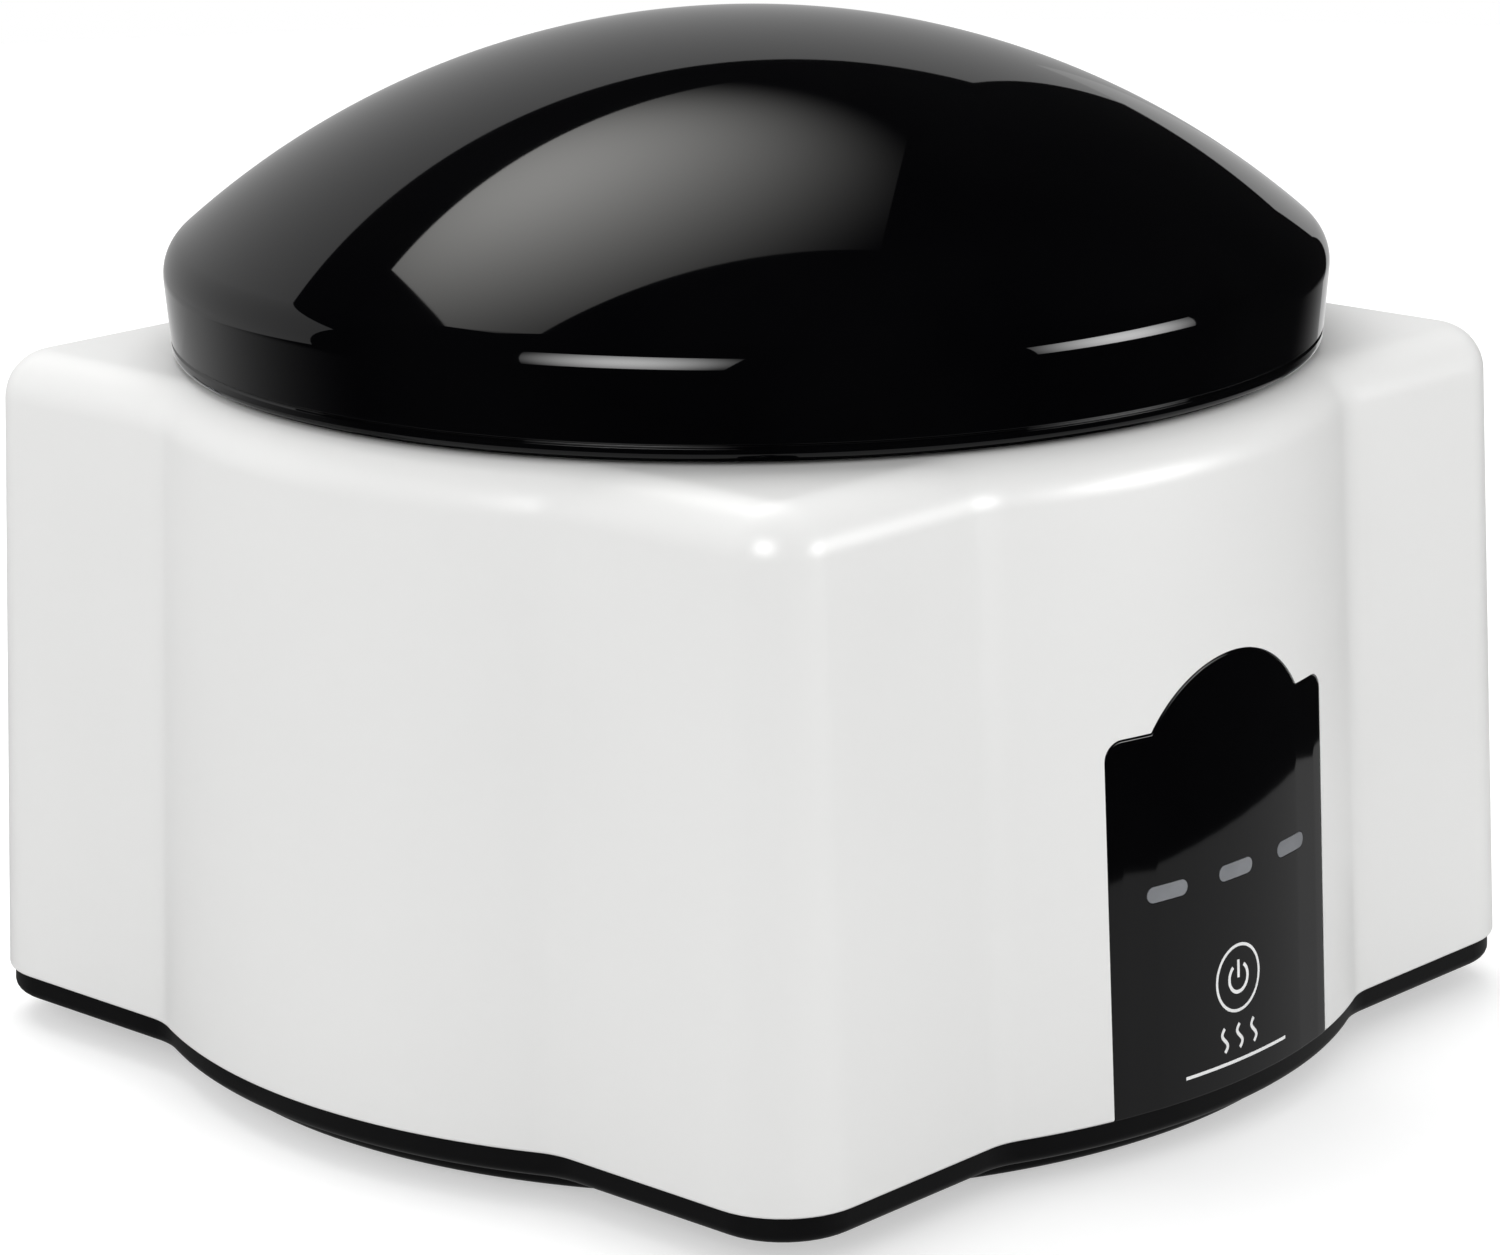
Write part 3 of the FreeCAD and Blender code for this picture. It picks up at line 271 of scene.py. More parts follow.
def side_outline(inset):
    """Points of the front side, from its left corner to the end of its right corner."""
    half = SIDE / 2 - inset
    bulge = BULGE_R - inset
    corner = CORNER_R - inset
    junction = JUNCTION_R + inset
    junction_x = math.sqrt((bulge + junction) ** 2 - (half + junction) ** 2)
    turn = math.degrees(math.atan2(junction_x, half + junction))
    flat_end = half - corner
    flat = [
        (-flat_end + (flat_end - junction_x) * step / FLAT_STEPS, -half) for step in range(FLAT_STEPS)
    ]
    into = arc((-junction_x, -half - junction), junction, 90, 90 - turn, JUNCTION_STEPS)
    swell = arc((0, 0), bulge, -90 - turn, -90 + turn, BULGE_STEPS)
    out = arc((junction_x, -half - junction), junction, 90 + turn, 90, JUNCTION_STEPS)
    flat_back = [(-x, y) for x, y in reversed(flat)]
    corner_arc = arc((flat_end, -flat_end), corner, -90, 0, CORNER_STEPS)
    return flat + into[:-1] + swell[:-1] + out + flat_back[:-1] + corner_arc[:-1]


def outline(inset, height):
    """Ring of points round the whole casing at one inset and height."""
    side = side_outline(inset)
    turns = [(1, 0), (0, 1), (-1, 0), (0, -1)]
    return [Vector((x * c - y * s, x * s + y * c, height)) for c, s in turns for x, y in side]


def round_ring(radius, height):
    """Ring with as many points as the casing's outline, but on a circle."""
    return [
        Vector((point.x, point.y, 0)).normalized() * radius + Vector((0, 0, height))
        for point in outline(0, 0)
    ]


print("points in one ring:", len(outline(0, 0)))

# %% [markdown]
# ## Casing: rings from foot to mouth and back
#
# The real casing is one white ABS moulding, 2.5 mm thick. A cube with bevels can't follow the
# hollow junctions, so the wall is drawn as a ring of edges that is extruded again and again.
# After each extrude the new ring is set on its outline: up the leaning wall, over the rounded
# edge, in across the top, down the mouth's collar and back under it. The last ring is the first
# one again, and merging the doubles closes the shell.

# %% Casing rings
WALL = 2.5 * MM
TOP_EDGE_R = 7 * MM
FOOT_EDGE_R = 0.4 * MM
MOUTH_R = 72 * MM
MOUTH_EDGE_R = 0.6 * MM
COLLAR_DEPTH = 13 * MM
WALL_STEPS = 14
EDGE_STEPS = 14
TOP_STEPS = 5
EASE_TURNS = (math.pi / 2, math.pi / 3, math.pi / 6, 0)


def wall_inset(height):
    """How far the leaning wall has come in at a height."""
    return (height - CASING_FOOT) * LEAN


def edge_rings(top, radius, wall):
    """Rings up the rounded edge between a leaning wall and the flat top."""
    tilt = math.degrees(math.atan(LEAN))
    centre_z = top - radius
    centre_in = wall + wall_inset(centre_z) + radius / math.cos(math.radians(tilt))
    rings = []
    for step in range(EDGE_STEPS + 1):
        turn = math.radians(tilt + (90 - tilt) * step / EDGE_STEPS)
        rings.append(outline(centre_in - radius * math.cos(turn), centre_z + radius * math.sin(turn)))
    return rings


def across(start, end, steps):
    """Rings between two rings, without either."""
    return [
        [one.lerp(other, step / steps) for one, other in zip(start, end)] for step in range(1, steps)
    ]


outer_edge = edge_rings(CASING_TOP, TOP_EDGE_R, 0)
inner_edge = edge_rings(CASING_TOP - WALL, TOP_EDGE_R - WALL, WALL)
foot_rings = [
    outline(FOOT_EDGE_R * (1 - math.cos(turn)), CASING_FOOT + FOOT_EDGE_R * (1 - math.sin(turn)))
    for turn in EASE_TURNS
]
outer_wall = across(foot_rings[-1], outer_edge[0], WALL_STEPS)
mouth = [
    round_ring(
        MOUTH_R + MOUTH_EDGE_R * (1 - math.cos(turn)),
        CASING_TOP - MOUTH_EDGE_R * (1 - math.sin(turn)),
    )
    for turn in EASE_TURNS
]
top = across(outer_edge[-1], mouth[0], TOP_STEPS)
collar_z = CASING_TOP - COLLAR_DEPTH
collar = [
    round_ring(MOUTH_R, collar_z),
    round_ring(MOUTH_R + WALL, collar_z),
    round_ring(MOUTH_R + WALL, CASING_TOP - WALL),
]
under_top = across(collar[-1], inner_edge[-1], TOP_STEPS)
inner_foot = outline(WALL, CASING_FOOT)
inner_wall = across(inner_edge[0], inner_foot, WALL_STEPS)
casing_rings = (
    foot_rings + outer_wall + outer_edge + top + mouth + collar + under_top
    + inner_edge[::-1] + inner_wall + [inner_foot]
)


def lofted(name, rows, closed):
    """Skin of rows: a circle of edges, or one that is opened, extruded and set on each next row."""
    bpy.ops.object.select_all(action="DESELECT")
    bpy.ops.mesh.primitive_circle_add(vertices=len(rows[0]), radius=MM)
    piece = bpy.context.object
    piece.name = name
    piece.data.name = name
    bpy.ops.object.mode_set(mode="EDIT")
    bpy.ops.mesh.select_mode(type="VERT")
    mesh = bmesh.from_edit_mesh(piece.data)
    place = mesh.verts.layers.int.new("place")
    for number, vertex in enumerate(mesh.verts):
        vertex[place] = number
    if not closed:
        ends = {0, len(rows[0]) - 1}
        for edge in mesh.edges:
            edge.select_set({vertex[place] for vertex in edge.verts} == ends)
        bmesh.update_edit_mesh(piece.data)
        bpy.ops.mesh.delete(type="EDGE_FACE")
    bpy.ops.mesh.select_all(action="SELECT")
    for level, row in enumerate(rows):
        if level:
            bpy.ops.mesh.extrude_edges_move()
        mesh = bmesh.from_edit_mesh(piece.data)
        place = mesh.verts.layers.int["place"]
        for vertex in mesh.verts:
            if vertex.select:
                vertex.co = row[vertex[place]]
        bmesh.update_edit_mesh(piece.data)
    close_up()
    piece.data.attributes.remove(piece.data.attributes["place"])
    return piece


casing = lofted("casing_shell", casing_rings + casing_rings[:1], closed=True)
tell(casing)

# %% [markdown]
# ## Panel opening
#
# The control panel sits flush in the front bulge. Its opening is a prism with rounded shoulders
# and an arched top, pushed through the wall and cut away with a Boolean. The same outline, a hair
# smaller, makes the panel later, so the joint between them stays an even dark line.

# %% Panel outline and opening
PANEL_HALF = 23.3 * MM
PANEL_SHOULDER = CASING_FOOT + 52 * MM
PANEL_CORNER_R = 2.6 * MM
ARCH_HALF = 15.6 * MM
ARCH_H = 8.2 * MM
PANEL_GAP = 0.15 * MM
PANEL_CORNER_STEPS = 8
ARCH_STEPS = 36


def panel_outline(margin, foot):
    """Front view of the panel, from its lower left corner, clockwise."""
    half = PANEL_HALF + margin
    shoulder = PANEL_SHOULDER + margin
    corner = PANEL_CORNER_R + margin
    arch_half = ARCH_HALF + margin
    arch_r = (arch_half**2 + ARCH_H**2) / (2 * ARCH_H)
    spread = math.degrees(math.asin(arch_half / arch_r))
    left = arc((corner - half, shoulder - corner), corner, 180, 90, PANEL_CORNER_STEPS)
    crown = arc((0, shoulder + ARCH_H - arch_r), arch_r, 90 + spread, 90 - spread, ARCH_STEPS)
    right_corner = [(-x, z) for x, z in reversed(left)]
    return [(-half, foot)] + left + crown + right_corner + [(half, foot)]


def prism(name, points, front_y, rear_y):
    """Solid along Y whose front view is a closed outline."""
    piece = fresh(name)
    draw_path([(x, front_y, z) for x, z in points])
    bpy.ops.mesh.edge_face_add()
    bpy.ops.mesh.extrude_region_move(TRANSFORM_OT_translate={"value": (0, rear_y - front_y, 0)})
    close_up()
    return piece


below_foot = CASING_FOOT - 5 * MM
opening = prism("panel_opening", panel_outline(PANEL_GAP, below_foot), -BULGE_R - 5 * MM, -BULGE_R / 2)
boolean(casing, opening, "DIFFERENCE")
tell(casing)

# %% [markdown]
# ## Inlet pocket
#
# The supply plugs in at the rear, into a round socket that sits in a shallow pocket. A pad
# thickens the wall from inside, then a wide cylinder cuts the pocket and a narrow one lets the
# socket's barrel through.

# %% Inlet pocket
inlet_low, inlet_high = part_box("dc_inlet")
INLET_Z = (inlet_low.z + inlet_high.z) / 2
INLET_SEAT = inlet_high.y - 1.5 * MM
PAD_R = 10 * MM
PAD_T = 2.5 * MM
POCKET_R = (inlet_high.x - inlet_low.x) / 2 + 0.5 * MM
HOLE_R = 5.6 * MM
OUTSIDE = BULGE_R + 5 * MM


def rod(name, radius, front_y, rear_y, height):
    """Cylinder along Y at one height over the middle of the pot."""
    bpy.ops.object.select_all(action="DESELECT")
    bpy.ops.mesh.primitive_cylinder_add(
        vertices=96,
        radius=radius,
        depth=rear_y - front_y,
        location=(0, (front_y + rear_y) / 2, height),
        rotation=(math.pi / 2, 0, 0),
    )
    bpy.context.object.name = name
    bpy.ops.object.transform_apply(location=True, rotation=True, scale=True)
    return bpy.context.object


boolean(casing, rod("inlet_pad", PAD_R, INLET_SEAT - PAD_T, INLET_SEAT + WALL / 3, INLET_Z), "UNION")
boolean(casing, rod("inlet_pocket", POCKET_R, INLET_SEAT, OUTSIDE, INLET_Z), "DIFFERENCE")
boolean(casing, rod("inlet_hole", HOLE_R, INLET_SEAT - 2 * PAD_T, OUTSIDE, INLET_Z), "DIFFERENCE")
smooth(casing)
tell(casing)
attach(casing, "housing")
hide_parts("casing")
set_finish(casing, "white_gloss_abs")

# %% [markdown]
# ## Dome lid
#
# The lid is a spherical cap on a short side that leans out a little, with a rounded shoulder
# between them. Round pieces are best spun: one profile is drawn point by point and turned round
# the axis. The shoulder's centre is worked out so that its arc meets both the side and the sphere
# without a kink, because black gloss shows every kink as a bend in the reflections. A fine groove
# marks off a lip at the lid's foot.

# %% Dome lid
dome_low, dome_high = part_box("lid_dome")
LID_FOOT = dome_low.z
LID_APEX = dome_high.z
LID_R = 82.71 * MM
LID_SEAM_R = LID_R - 1.1 * MM
LID_SIDE_H = 13.8 * MM
SHOULDER_R = 6.3 * MM
RIM_R = 1.4 * MM
LIP_H = 1.9 * MM
LIP_GROOVE = 0.6 * MM
LIP_EASE_R = 0.08 * MM
LID_WALL = 2.4 * MM
BORE_EDGE_R = 0.4 * MM
CAP_STEPS = 56
INNER_CAP_STEPS = 28
SHOULDER_STEPS = 18


def dome_profile(seam, radius, foot, side_top, apex, shoulder, cap_steps):
    """Points from the apex over the cap and the shoulder, down to the foot of the leaning side."""
    rise = apex - side_top
    sphere_r = (radius**2 + rise**2) / (2 * rise)
    sphere_z = apex - sphere_r
    foot_point = Vector((seam, foot))
    along = (Vector((radius, side_top)) - foot_point).normalized()
    outward = Vector((along.y, -along.x))
    start = foot_point - outward * shoulder - Vector((0, sphere_z))
    halfway = start.dot(along)
    travel = -halfway + math.sqrt(halfway**2 - start.length_squared + (sphere_r - shoulder) ** 2)
    centre = start + along * travel + Vector((0, sphere_z))
    low = math.degrees(math.atan2(outward.y, outward.x))
    high = math.degrees(math.atan2(centre.y - sphere_z, centre.x))
    cap = arc((0, sphere_z), sphere_r, 90, high, cap_steps)
    turn = arc(tuple(centre), shoulder, high, low, SHOULDER_STEPS)
    return cap + turn[1:] + [(seam, foot)]


outer = dome_profile(
    LID_SEAM_R, LID_R, LID_FOOT, LID_FOOT + LID_SIDE_H, LID_APEX, SHOULDER_R, CAP_STEPS
)
bore_r = LID_SEAM_R - LID_WALL
inner = dome_profile(
    bore_r, bore_r, LID_FOOT, LID_FOOT + LID_SIDE_H - LID_WALL / 2,
    LID_APEX - LID_WALL, SHOULDER_R - LID_WALL, INNER_CAP_STEPS,
)


def on_side(height, depth):
    """Point on the lid's leaning side, this high over its foot and this deep in it."""
    low_point = Vector(outer[-1])
    along = (Vector(outer[-2]) - low_point).normalized()
    return tuple(low_point + along * height + Vector((-depth, 0)))


rim = eased(
    [
        (*outer[-2], 0),
        (*on_side(LIP_H + LIP_GROOVE, 0), LIP_EASE_R),
        (*on_side(LIP_H + LIP_GROOVE / 2, LIP_GROOVE / 2), LIP_EASE_R),
        (*on_side(LIP_H, 0), LIP_EASE_R),
        (*outer[-1], RIM_R),
        (*inner[-1], BORE_EDGE_R),
        (*inner[-2], 0),
    ],
    steps=7,
)[1:-1]
lid = spun("lid_shell", outer[:-1] + rim + inner[-2::-1], steps=192)
smooth(lid, degrees=40)
tell(lid)
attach(lid, "lid")
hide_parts("lid_dome")
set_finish(lid, "black_gloss_abs")

# %% [markdown]
# ## Lid liner and seal
#
# Under the gloss dome sits a second, shallower dome that catches the drips, on a flat ring. A
# silicone seal under that ring rests on the plate. Both are profiles with eased corners, spun
# like the lid.

# %% Lid liner and seal
liner_low, liner_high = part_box("lid_liner")
LINER_T = 2 * MM
LINER_R = liner_high.x
LINER_DOME_R = LINER_R - 8.8 * MM
LINER_EDGE_R = 0.5 * MM
LINER_HOLLOW_R = 1 * MM
LINER_CAP_STEPS = 30

ledge_z = liner_low.z + LINER_T
liner_top = dome_profile(
    LINER_DOME_R, LINER_DOME_R, liner_low.z, ledge_z, liner_high.z, LINER_HOLLOW_R, LINER_CAP_STEPS
)[:LINER_CAP_STEPS + 1]
inside_r = LINER_DOME_R - LINER_T
liner_under = dome_profile(
    inside_r, inside_r, liner_low.z, liner_low.z + LINER_T / 2,
    liner_high.z - LINER_T, LINER_EDGE_R, LINER_CAP_STEPS,
)
ledge = eased([
    (*liner_top[-1], 0),
    (LINER_DOME_R, ledge_z, LINER_HOLLOW_R / 2),
    (LINER_R, ledge_z, LINER_EDGE_R),
    (LINER_R, liner_low.z, LINER_EDGE_R),
    (*liner_under[-1], LINER_EDGE_R),
    (*liner_under[-2], 0),
])
liner = smooth(spun("lid_inner_dome", liner_top + ledge[1:-1] + liner_under[-2::-1]))
tell(liner)
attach(liner, "lid")
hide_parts("lid_liner")
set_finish(liner, "black_liner_plastic")

seal_low, seal_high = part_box("lid_seal")
SEAL_W = 4 * MM
SEAL_EDGE_R = 0.7 * MM
seal_in = seal_high.x - SEAL_W
seal_corners = eased([
    (seal_in, seal_low.z, SEAL_EDGE_R),
    (seal_high.x, seal_low.z, SEAL_EDGE_R),
    (seal_high.x, seal_high.z, SEAL_EDGE_R),
    (seal_in, seal_high.z, SEAL_EDGE_R),
])
seal = smooth(spun("lid_seal_ring", seal_corners + seal_corners[:1]))
tell(seal)
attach(seal, "lid")
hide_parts("lid_seal")
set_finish(seal, "silicone")

# %% [markdown]
# ## Finger plate
#
# The plate lifts out for cleaning. Its flange lies on the casing, its spigot drops into the
# mouth, and five fingertips go through its dished web. The round body comes first, spun from one
# profile with eased corners.

# %% Finger plate body
_, plate_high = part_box("finger_plate")
FLANGE_T = 2 * MM
DISH_DEPTH = 3 * MM
WEB_T = 2.2 * MM
SPIGOT_R = MOUTH_R - 0.4 * MM
SPIGOT_T = 2.2 * MM
SPIGOT_DEPTH = 10 * MM
PLATE_EDGE_R = 0.7 * MM
DISH_R = 1.6 * MM
WEB_EDGE_R = 0.4 * MM
SEAT_EDGE_R = 0.3 * MM

seat_z = plate_high.z - FLANGE_T
web_top = plate_high.z - DISH_DEPTH
web_under = web_top - WEB_T
spigot_in = SPIGOT_R - SPIGOT_T
plate_profile = eased([
    (0, web_under, 0),
    (spigot_in, web_under, WEB_EDGE_R),
    (spigot_in, seat_z - SPIGOT_DEPTH, PLATE_EDGE_R),
    (SPIGOT_R, seat_z - SPIGOT_DEPTH, PLATE_EDGE_R),
    (SPIGOT_R, seat_z, SEAT_EDGE_R),
    (plate_high.x, seat_z, PLATE_EDGE_R),
    (plate_high.x, plate_high.z, PLATE_EDGE_R),
    (spigot_in, plate_high.z, PLATE_EDGE_R),
    (spigot_in, web_top, DISH_R),
    (0, web_top, 0),
])
plate = spun("soak_plate", plate_profile)
tell(plate)

# %% [markdown]
# ## Finger holes
#
# Five fingertips reach down along an arc. One skirt and one hole tool are modelled, copied to the
# five places, and joined to or cut from the web. The hole tool flares at its top, so the cut
# leaves a rounded edge that feels soft to a finger.

# %% Finger holes
FINGER_COUNT = 5
FINGER_R = 11 * MM
FINGER_RING_R = MOUTH_R - 26 * MM
FINGER_PITCH = math.radians(37.5)
SKIRT_T = 1.8 * MM
SKIRT_H = 6 * MM
HOLE_EDGE_R = 1 * MM
SPARE = 2 * MM
FINGER_STEPS = 96

finger_places = []
for number in range(FINGER_COUNT):
    turn = math.pi / 2 + FINGER_PITCH * (number - (FINGER_COUNT - 1) / 2)
    finger_places.append((FINGER_RING_R * math.cos(turn), FINGER_RING_R * math.sin(turn), 0))
skirt_foot = web_under - SKIRT_H
skirt_r = FINGER_R + SKIRT_T
skirt = spun("finger_skirt", eased([
    (0, skirt_foot, 0),
    (skirt_r, skirt_foot, PLATE_EDGE_R),
    (skirt_r, web_under + WEB_T / 2, 0),
    (0, web_under + WEB_T / 2, 0),
]), steps=FINGER_STEPS)
boolean(plate, copies_at(skirt, finger_places), "UNION")

flare = arc((FINGER_R + HOLE_EDGE_R, web_top - HOLE_EDGE_R), HOLE_EDGE_R, 90, 180, 8)
flare_foot = arc((FINGER_R + HOLE_EDGE_R / 2, skirt_foot + HOLE_EDGE_R / 2), HOLE_EDGE_R / 2, 180, 270, 5)
hole_tool = spun("finger_hole", [
    (0, web_top + SPARE),
    (FINGER_R + HOLE_EDGE_R, web_top + SPARE),
    *flare,
    *flare_foot,
    (FINGER_R + HOLE_EDGE_R / 2, skirt_foot - SPARE),
    (0, skirt_foot - SPARE),
], steps=FINGER_STEPS)
boolean(plate, copies_at(hole_tool, finger_places), "DIFFERENCE")
smooth(plate)
tell(plate)
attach(plate, "finger_plate")
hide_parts("finger_plate")
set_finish(plate, "black_plate_plastic")

# %% [markdown]
# ## Control panel
#
# The panel is one black gloss sheet, bent to the bulge. Its upper outline is the first row of a
# skin that is extruded down to the foot, with every point on the bulge's leaning round face.
# Pushing the skin back gives it thickness, and a fine bevel catches the light along its edge.
# Three windows are cut for the milky ends of the light guide.

# %% Control panel
PANEL_T = 2.5 * MM
PANEL_ROWS = 28
PANEL_BEVEL = 0.25 * MM
WINDOW_Z = CASING_FOOT + 30 * MM
WINDOW_PITCH = 13.5 * MM
WINDOW_W = 7.2 * MM
WINDOW_TALL = 2.2 * MM
WINDOW_GAP = 0.1 * MM
WINDOW_STEPS = 12


def front_y(x, z):
    """Y of the front bulge's face."""
    return -math.sqrt((BULGE_R - wall_inset(z)) ** 2 - x**2)


crown = panel_outline(0, CASING_FOOT)[1:-1]
panel_rows = []
for row in range(PANEL_ROWS + 1):
    heights = [z + (CASING_FOOT - z) * row / PANEL_ROWS for _, z in crown]
    panel_rows.append([Vector((x, front_y(x, z), z)) for (x, _), z in zip(crown, heights)])
panel = lofted("control_face", panel_rows, closed=False)
only(panel)
bpy.ops.object.mode_set(mode="EDIT")
bpy.ops.mesh.select_all(action="SELECT")
bpy.ops.mesh.extrude_region_move(TRANSFORM_OT_translate={"value": (0, PANEL_T, 0)})
bpy.ops.mesh.select_all(action="SELECT")
bpy.ops.mesh.normals_make_consistent(inside=False)
mesh = bmesh.from_edit_mesh(panel.data)
for edge in mesh.edges:
    in_front = all(
        abs(vertex.co.y - front_y(vertex.co.x, vertex.co.z)) < PANEL_BEVEL for vertex in edge.verts
    )
    edge.select_set(in_front and edge.calc_face_angle(0) > math.radians(50))
bmesh.update_edit_mesh(panel.data)
bpy.ops.mesh.select_mode(type="EDGE")
bpy.ops.mesh.bevel(offset=PANEL_BEVEL, segments=3, affect="EDGES")
bpy.ops.object.mode_set(mode="OBJECT")

for step in (-1, 0, 1):
    round_r = WINDOW_TALL / 2 + WINDOW_GAP
    end_x = (WINDOW_W - WINDOW_TALL) / 2
    middle = step * WINDOW_PITCH
    slot_outline = arc((middle - end_x, WINDOW_Z), round_r, 90, 270, WINDOW_STEPS)
    slot_outline += arc((middle + end_x, WINDOW_Z), round_r, -90, 90, WINDOW_STEPS)
    boolean(panel, prism("window", slot_outline, -BULGE_R - SPARE, -BULGE_R / 2), "DIFFERENCE")
smooth(panel)
tell(panel)
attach(panel, "housing")
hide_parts("control_panel")
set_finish(panel, "black_gloss_acrylic")

# %% [markdown]
# ## Printed signs
#
# The touch key is marked by the common power sign in a ring, printed in white. A second plain
# sign tells what the pot does: three wisps of steam over a line. Each stroke is a short edge,
# spun or extruded along its path, laid on the bulge and given the thickness of a coat of ink.

# %% Printed signs
INK_T = 0.05 * MM
INK_LIFT = 0.03 * MM
KEY_Z = CASING_FOOT + 14.8 * MM
KEY_R = 4.6 * MM
KEY_LINE = 0.42 * MM
POWER_R = 2.0 * MM
POWER_LINE = 0.5 * MM
POWER_GAP = 70
POWER_BAR = 2.5 * MM
WISP_Z = CASING_FOOT + 6.6 * MM
WISP_H = 3.4 * MM
WISP_SWAY = 0.55 * MM
WISP_PITCH = 3.2 * MM
WISP_LINE = 0.5 * MM
RULE_W = 22 * MM
RULE_Z = CASING_FOOT + 3.2 * MM
RULE_LINE = 0.45 * MM
KEY_STEPS = 64
POWER_STEPS = 40
BAR_STEPS = 6
STROKE_STEPS = 24


def stroke(path, width):
    """Strip of two rows of points either side of a path of x and z."""
    left = []
    right_side = []
    for number, point in enumerate(path):
        before = Vector(path[max(number - 1, 0)])
        after = Vector(path[min(number + 1, len(path) - 1)])
        along = (after - before).normalized()
        across_path = Vector((-along.y, along.x)) * width / 2
        left.append(Vector(point) + across_path)
        right_side.append(Vector(point) - across_path)
    return left, right_side


def ink(name, strokes):
    """Lays strokes on the panel and joins them as one thin printed piece."""
    parts = []
    for path, width in strokes:
        rows = [
            [Vector((x, front_y(x, z) - INK_LIFT, z)) for x, z in side] for side in stroke(path, width)
        ]
        part = lofted(name, rows, closed=False)
        only(part)
        bpy.ops.object.mode_set(mode="EDIT")
        bpy.ops.mesh.select_all(action="SELECT")
        bpy.ops.mesh.extrude_region_move(TRANSFORM_OT_translate={"value": (0, INK_T, 0)})
        close_up()
        parts.append(part)
    piece = joined(parts)
    piece.name = name
    tell(piece)
    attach(piece, "housing")
    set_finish(piece, "light_diffuser")
    return piece


key_ring = arc((0, KEY_Z), KEY_R, 90, 450, KEY_STEPS)
power_arc = arc((0, KEY_Z), POWER_R, 90 + POWER_GAP / 2, 450 - POWER_GAP / 2, POWER_STEPS)
power_bar = [(0, KEY_Z + POWER_BAR - POWER_BAR * step / BAR_STEPS) for step in range(BAR_STEPS + 1)]
power_sign = ink("power_sign", [(key_ring, KEY_LINE), (power_arc, POWER_LINE), (power_bar, POWER_LINE)])

wisps = []
for step in (-1, 0, 1):
    path = []
    for share in range(STROKE_STEPS + 1):
        sway = WISP_SWAY * math.sin(math.tau * share / STROKE_STEPS)
        path.append((step * WISP_PITCH + sway, WISP_Z + WISP_H * (share / STROKE_STEPS - 0.5)))
    wisps.append((path, WISP_LINE))
rule = [(RULE_W * (step / STROKE_STEPS - 0.5), RULE_Z) for step in range(STROKE_STEPS + 1)]
steam_sign = ink("steam_sign", wisps + [(rule, RULE_LINE)])

# %% [markdown]
# ## Base tray
#
# The black base closes the casing from below: a thin band under the wall, a round plinth, and a
# lip that reaches up inside the wall. Its rings run from the middle of the underside out and up,
# over the lip and back to the middle of the floor, with the same number of points on the lobed
# and the round rings.

# %% Base tray rings
BAND_H = 3.8 * MM
BAND_INSET = 0.8 * MM
BAND_EDGE_R = 1.5 * MM
PLINTH_R = BULGE_R - 5 * MM
PLINTH_H = 2.8 * MM
PLINTH_EDGE_R = 1.2 * MM
TRAY_FLOOR_T = 2.4 * MM
LIP_OUT = WALL + 0.3 * MM
LIP_IN = LIP_OUT + 2 * MM
TRAY_LIP_H = 6 * MM
ROUND_STEPS = 8
DISC_STEPS = 4

band_z = CASING_FOOT - BAND_H
plinth_z = band_z - PLINTH_H
floor_z = plinth_z + TRAY_FLOOR_T
well_r = PLINTH_R - TRAY_FLOOR_T
shelf_z = band_z + TRAY_FLOOR_T
lip_top = CASING_FOOT + TRAY_LIP_H
quarter = [math.pi / 2 * step / ROUND_STEPS for step in range(ROUND_STEPS + 1)]

plinth_in = PLINTH_R - PLINTH_EDGE_R
underside = [round_ring(plinth_in * step / DISC_STEPS, plinth_z) for step in range(DISC_STEPS)]
plinth_edge = [
    round_ring(plinth_in + PLINTH_EDGE_R * math.sin(turn), plinth_z + PLINTH_EDGE_R * (1 - math.cos(turn)))
    for turn in quarter
]
plinth_top = round_ring(PLINTH_R, band_z)
band_round_z = band_z + BAND_EDGE_R
band_in = BAND_INSET + wall_inset(band_round_z) + BAND_EDGE_R
band_edge = [
    outline(band_in - BAND_EDGE_R * math.sin(turn), band_round_z - BAND_EDGE_R * math.cos(turn))
    for turn in quarter
]
lip = [
    outline(BAND_INSET, CASING_FOOT),
    outline(LIP_OUT, CASING_FOOT),
    outline(LIP_OUT + wall_inset(lip_top), lip_top),
    outline(LIP_IN + wall_inset(lip_top), lip_top),
    outline(LIP_IN + wall_inset(shelf_z), shelf_z),
]
well = [round_ring(well_r, shelf_z)] + [
    round_ring(well_r * step / DISC_STEPS, floor_z) for step in range(DISC_STEPS, -1, -1)
]
tray = lofted(
    "base_shell",
    underside + plinth_edge + [plinth_top] + across(plinth_top, band_edge[0], 3) + band_edge + lip + well,
    closed=True,
)
tell(tray)

# %% [markdown]
# ## Base tray: towers, vents and recesses
#
# Screws come up through four towers in the corners into the casing, and four short posts carry
# the power board. They are joined to the tray in one Boolean. Screw wells, foot recesses and the
# air vents under the board are cut in the same way, each from one tool that is modelled once and
# copied.

# %% Base tray details
TOWER_R = 4.8 * MM
TOWER_H = 18 * MM
TOWER_PLACE = (SIDE / 2 - CORNER_R) - 6 * MM / math.sqrt(2)
SCREW_WELL_R = 3.1 * MM
SCREW_WELL_H = 8 * MM
SCREW_HOLE_R = 1.65 * MM
POST_R = 3 * MM
POST_TOP = floor_z + 5 * MM
POST_PLACES = [(x * MM, y * MM, 0) for x in (-28, 28) for y in (20, 56)]
PILOT_R = 1.15 * MM
PILOT_H = 3.4 * MM
FOOT_R = 8 * MM
FOOT_RECESS = 0.9 * MM
FOOT_PLACE = (PLINTH_R - 15 * MM) / math.sqrt(2)
VENT_L = 40 * MM
VENT_W = 2.5 * MM
VENT_Y = -28 * MM
VENT_PITCH = 6 * MM
VENT_END_R = VENT_W * 0.45


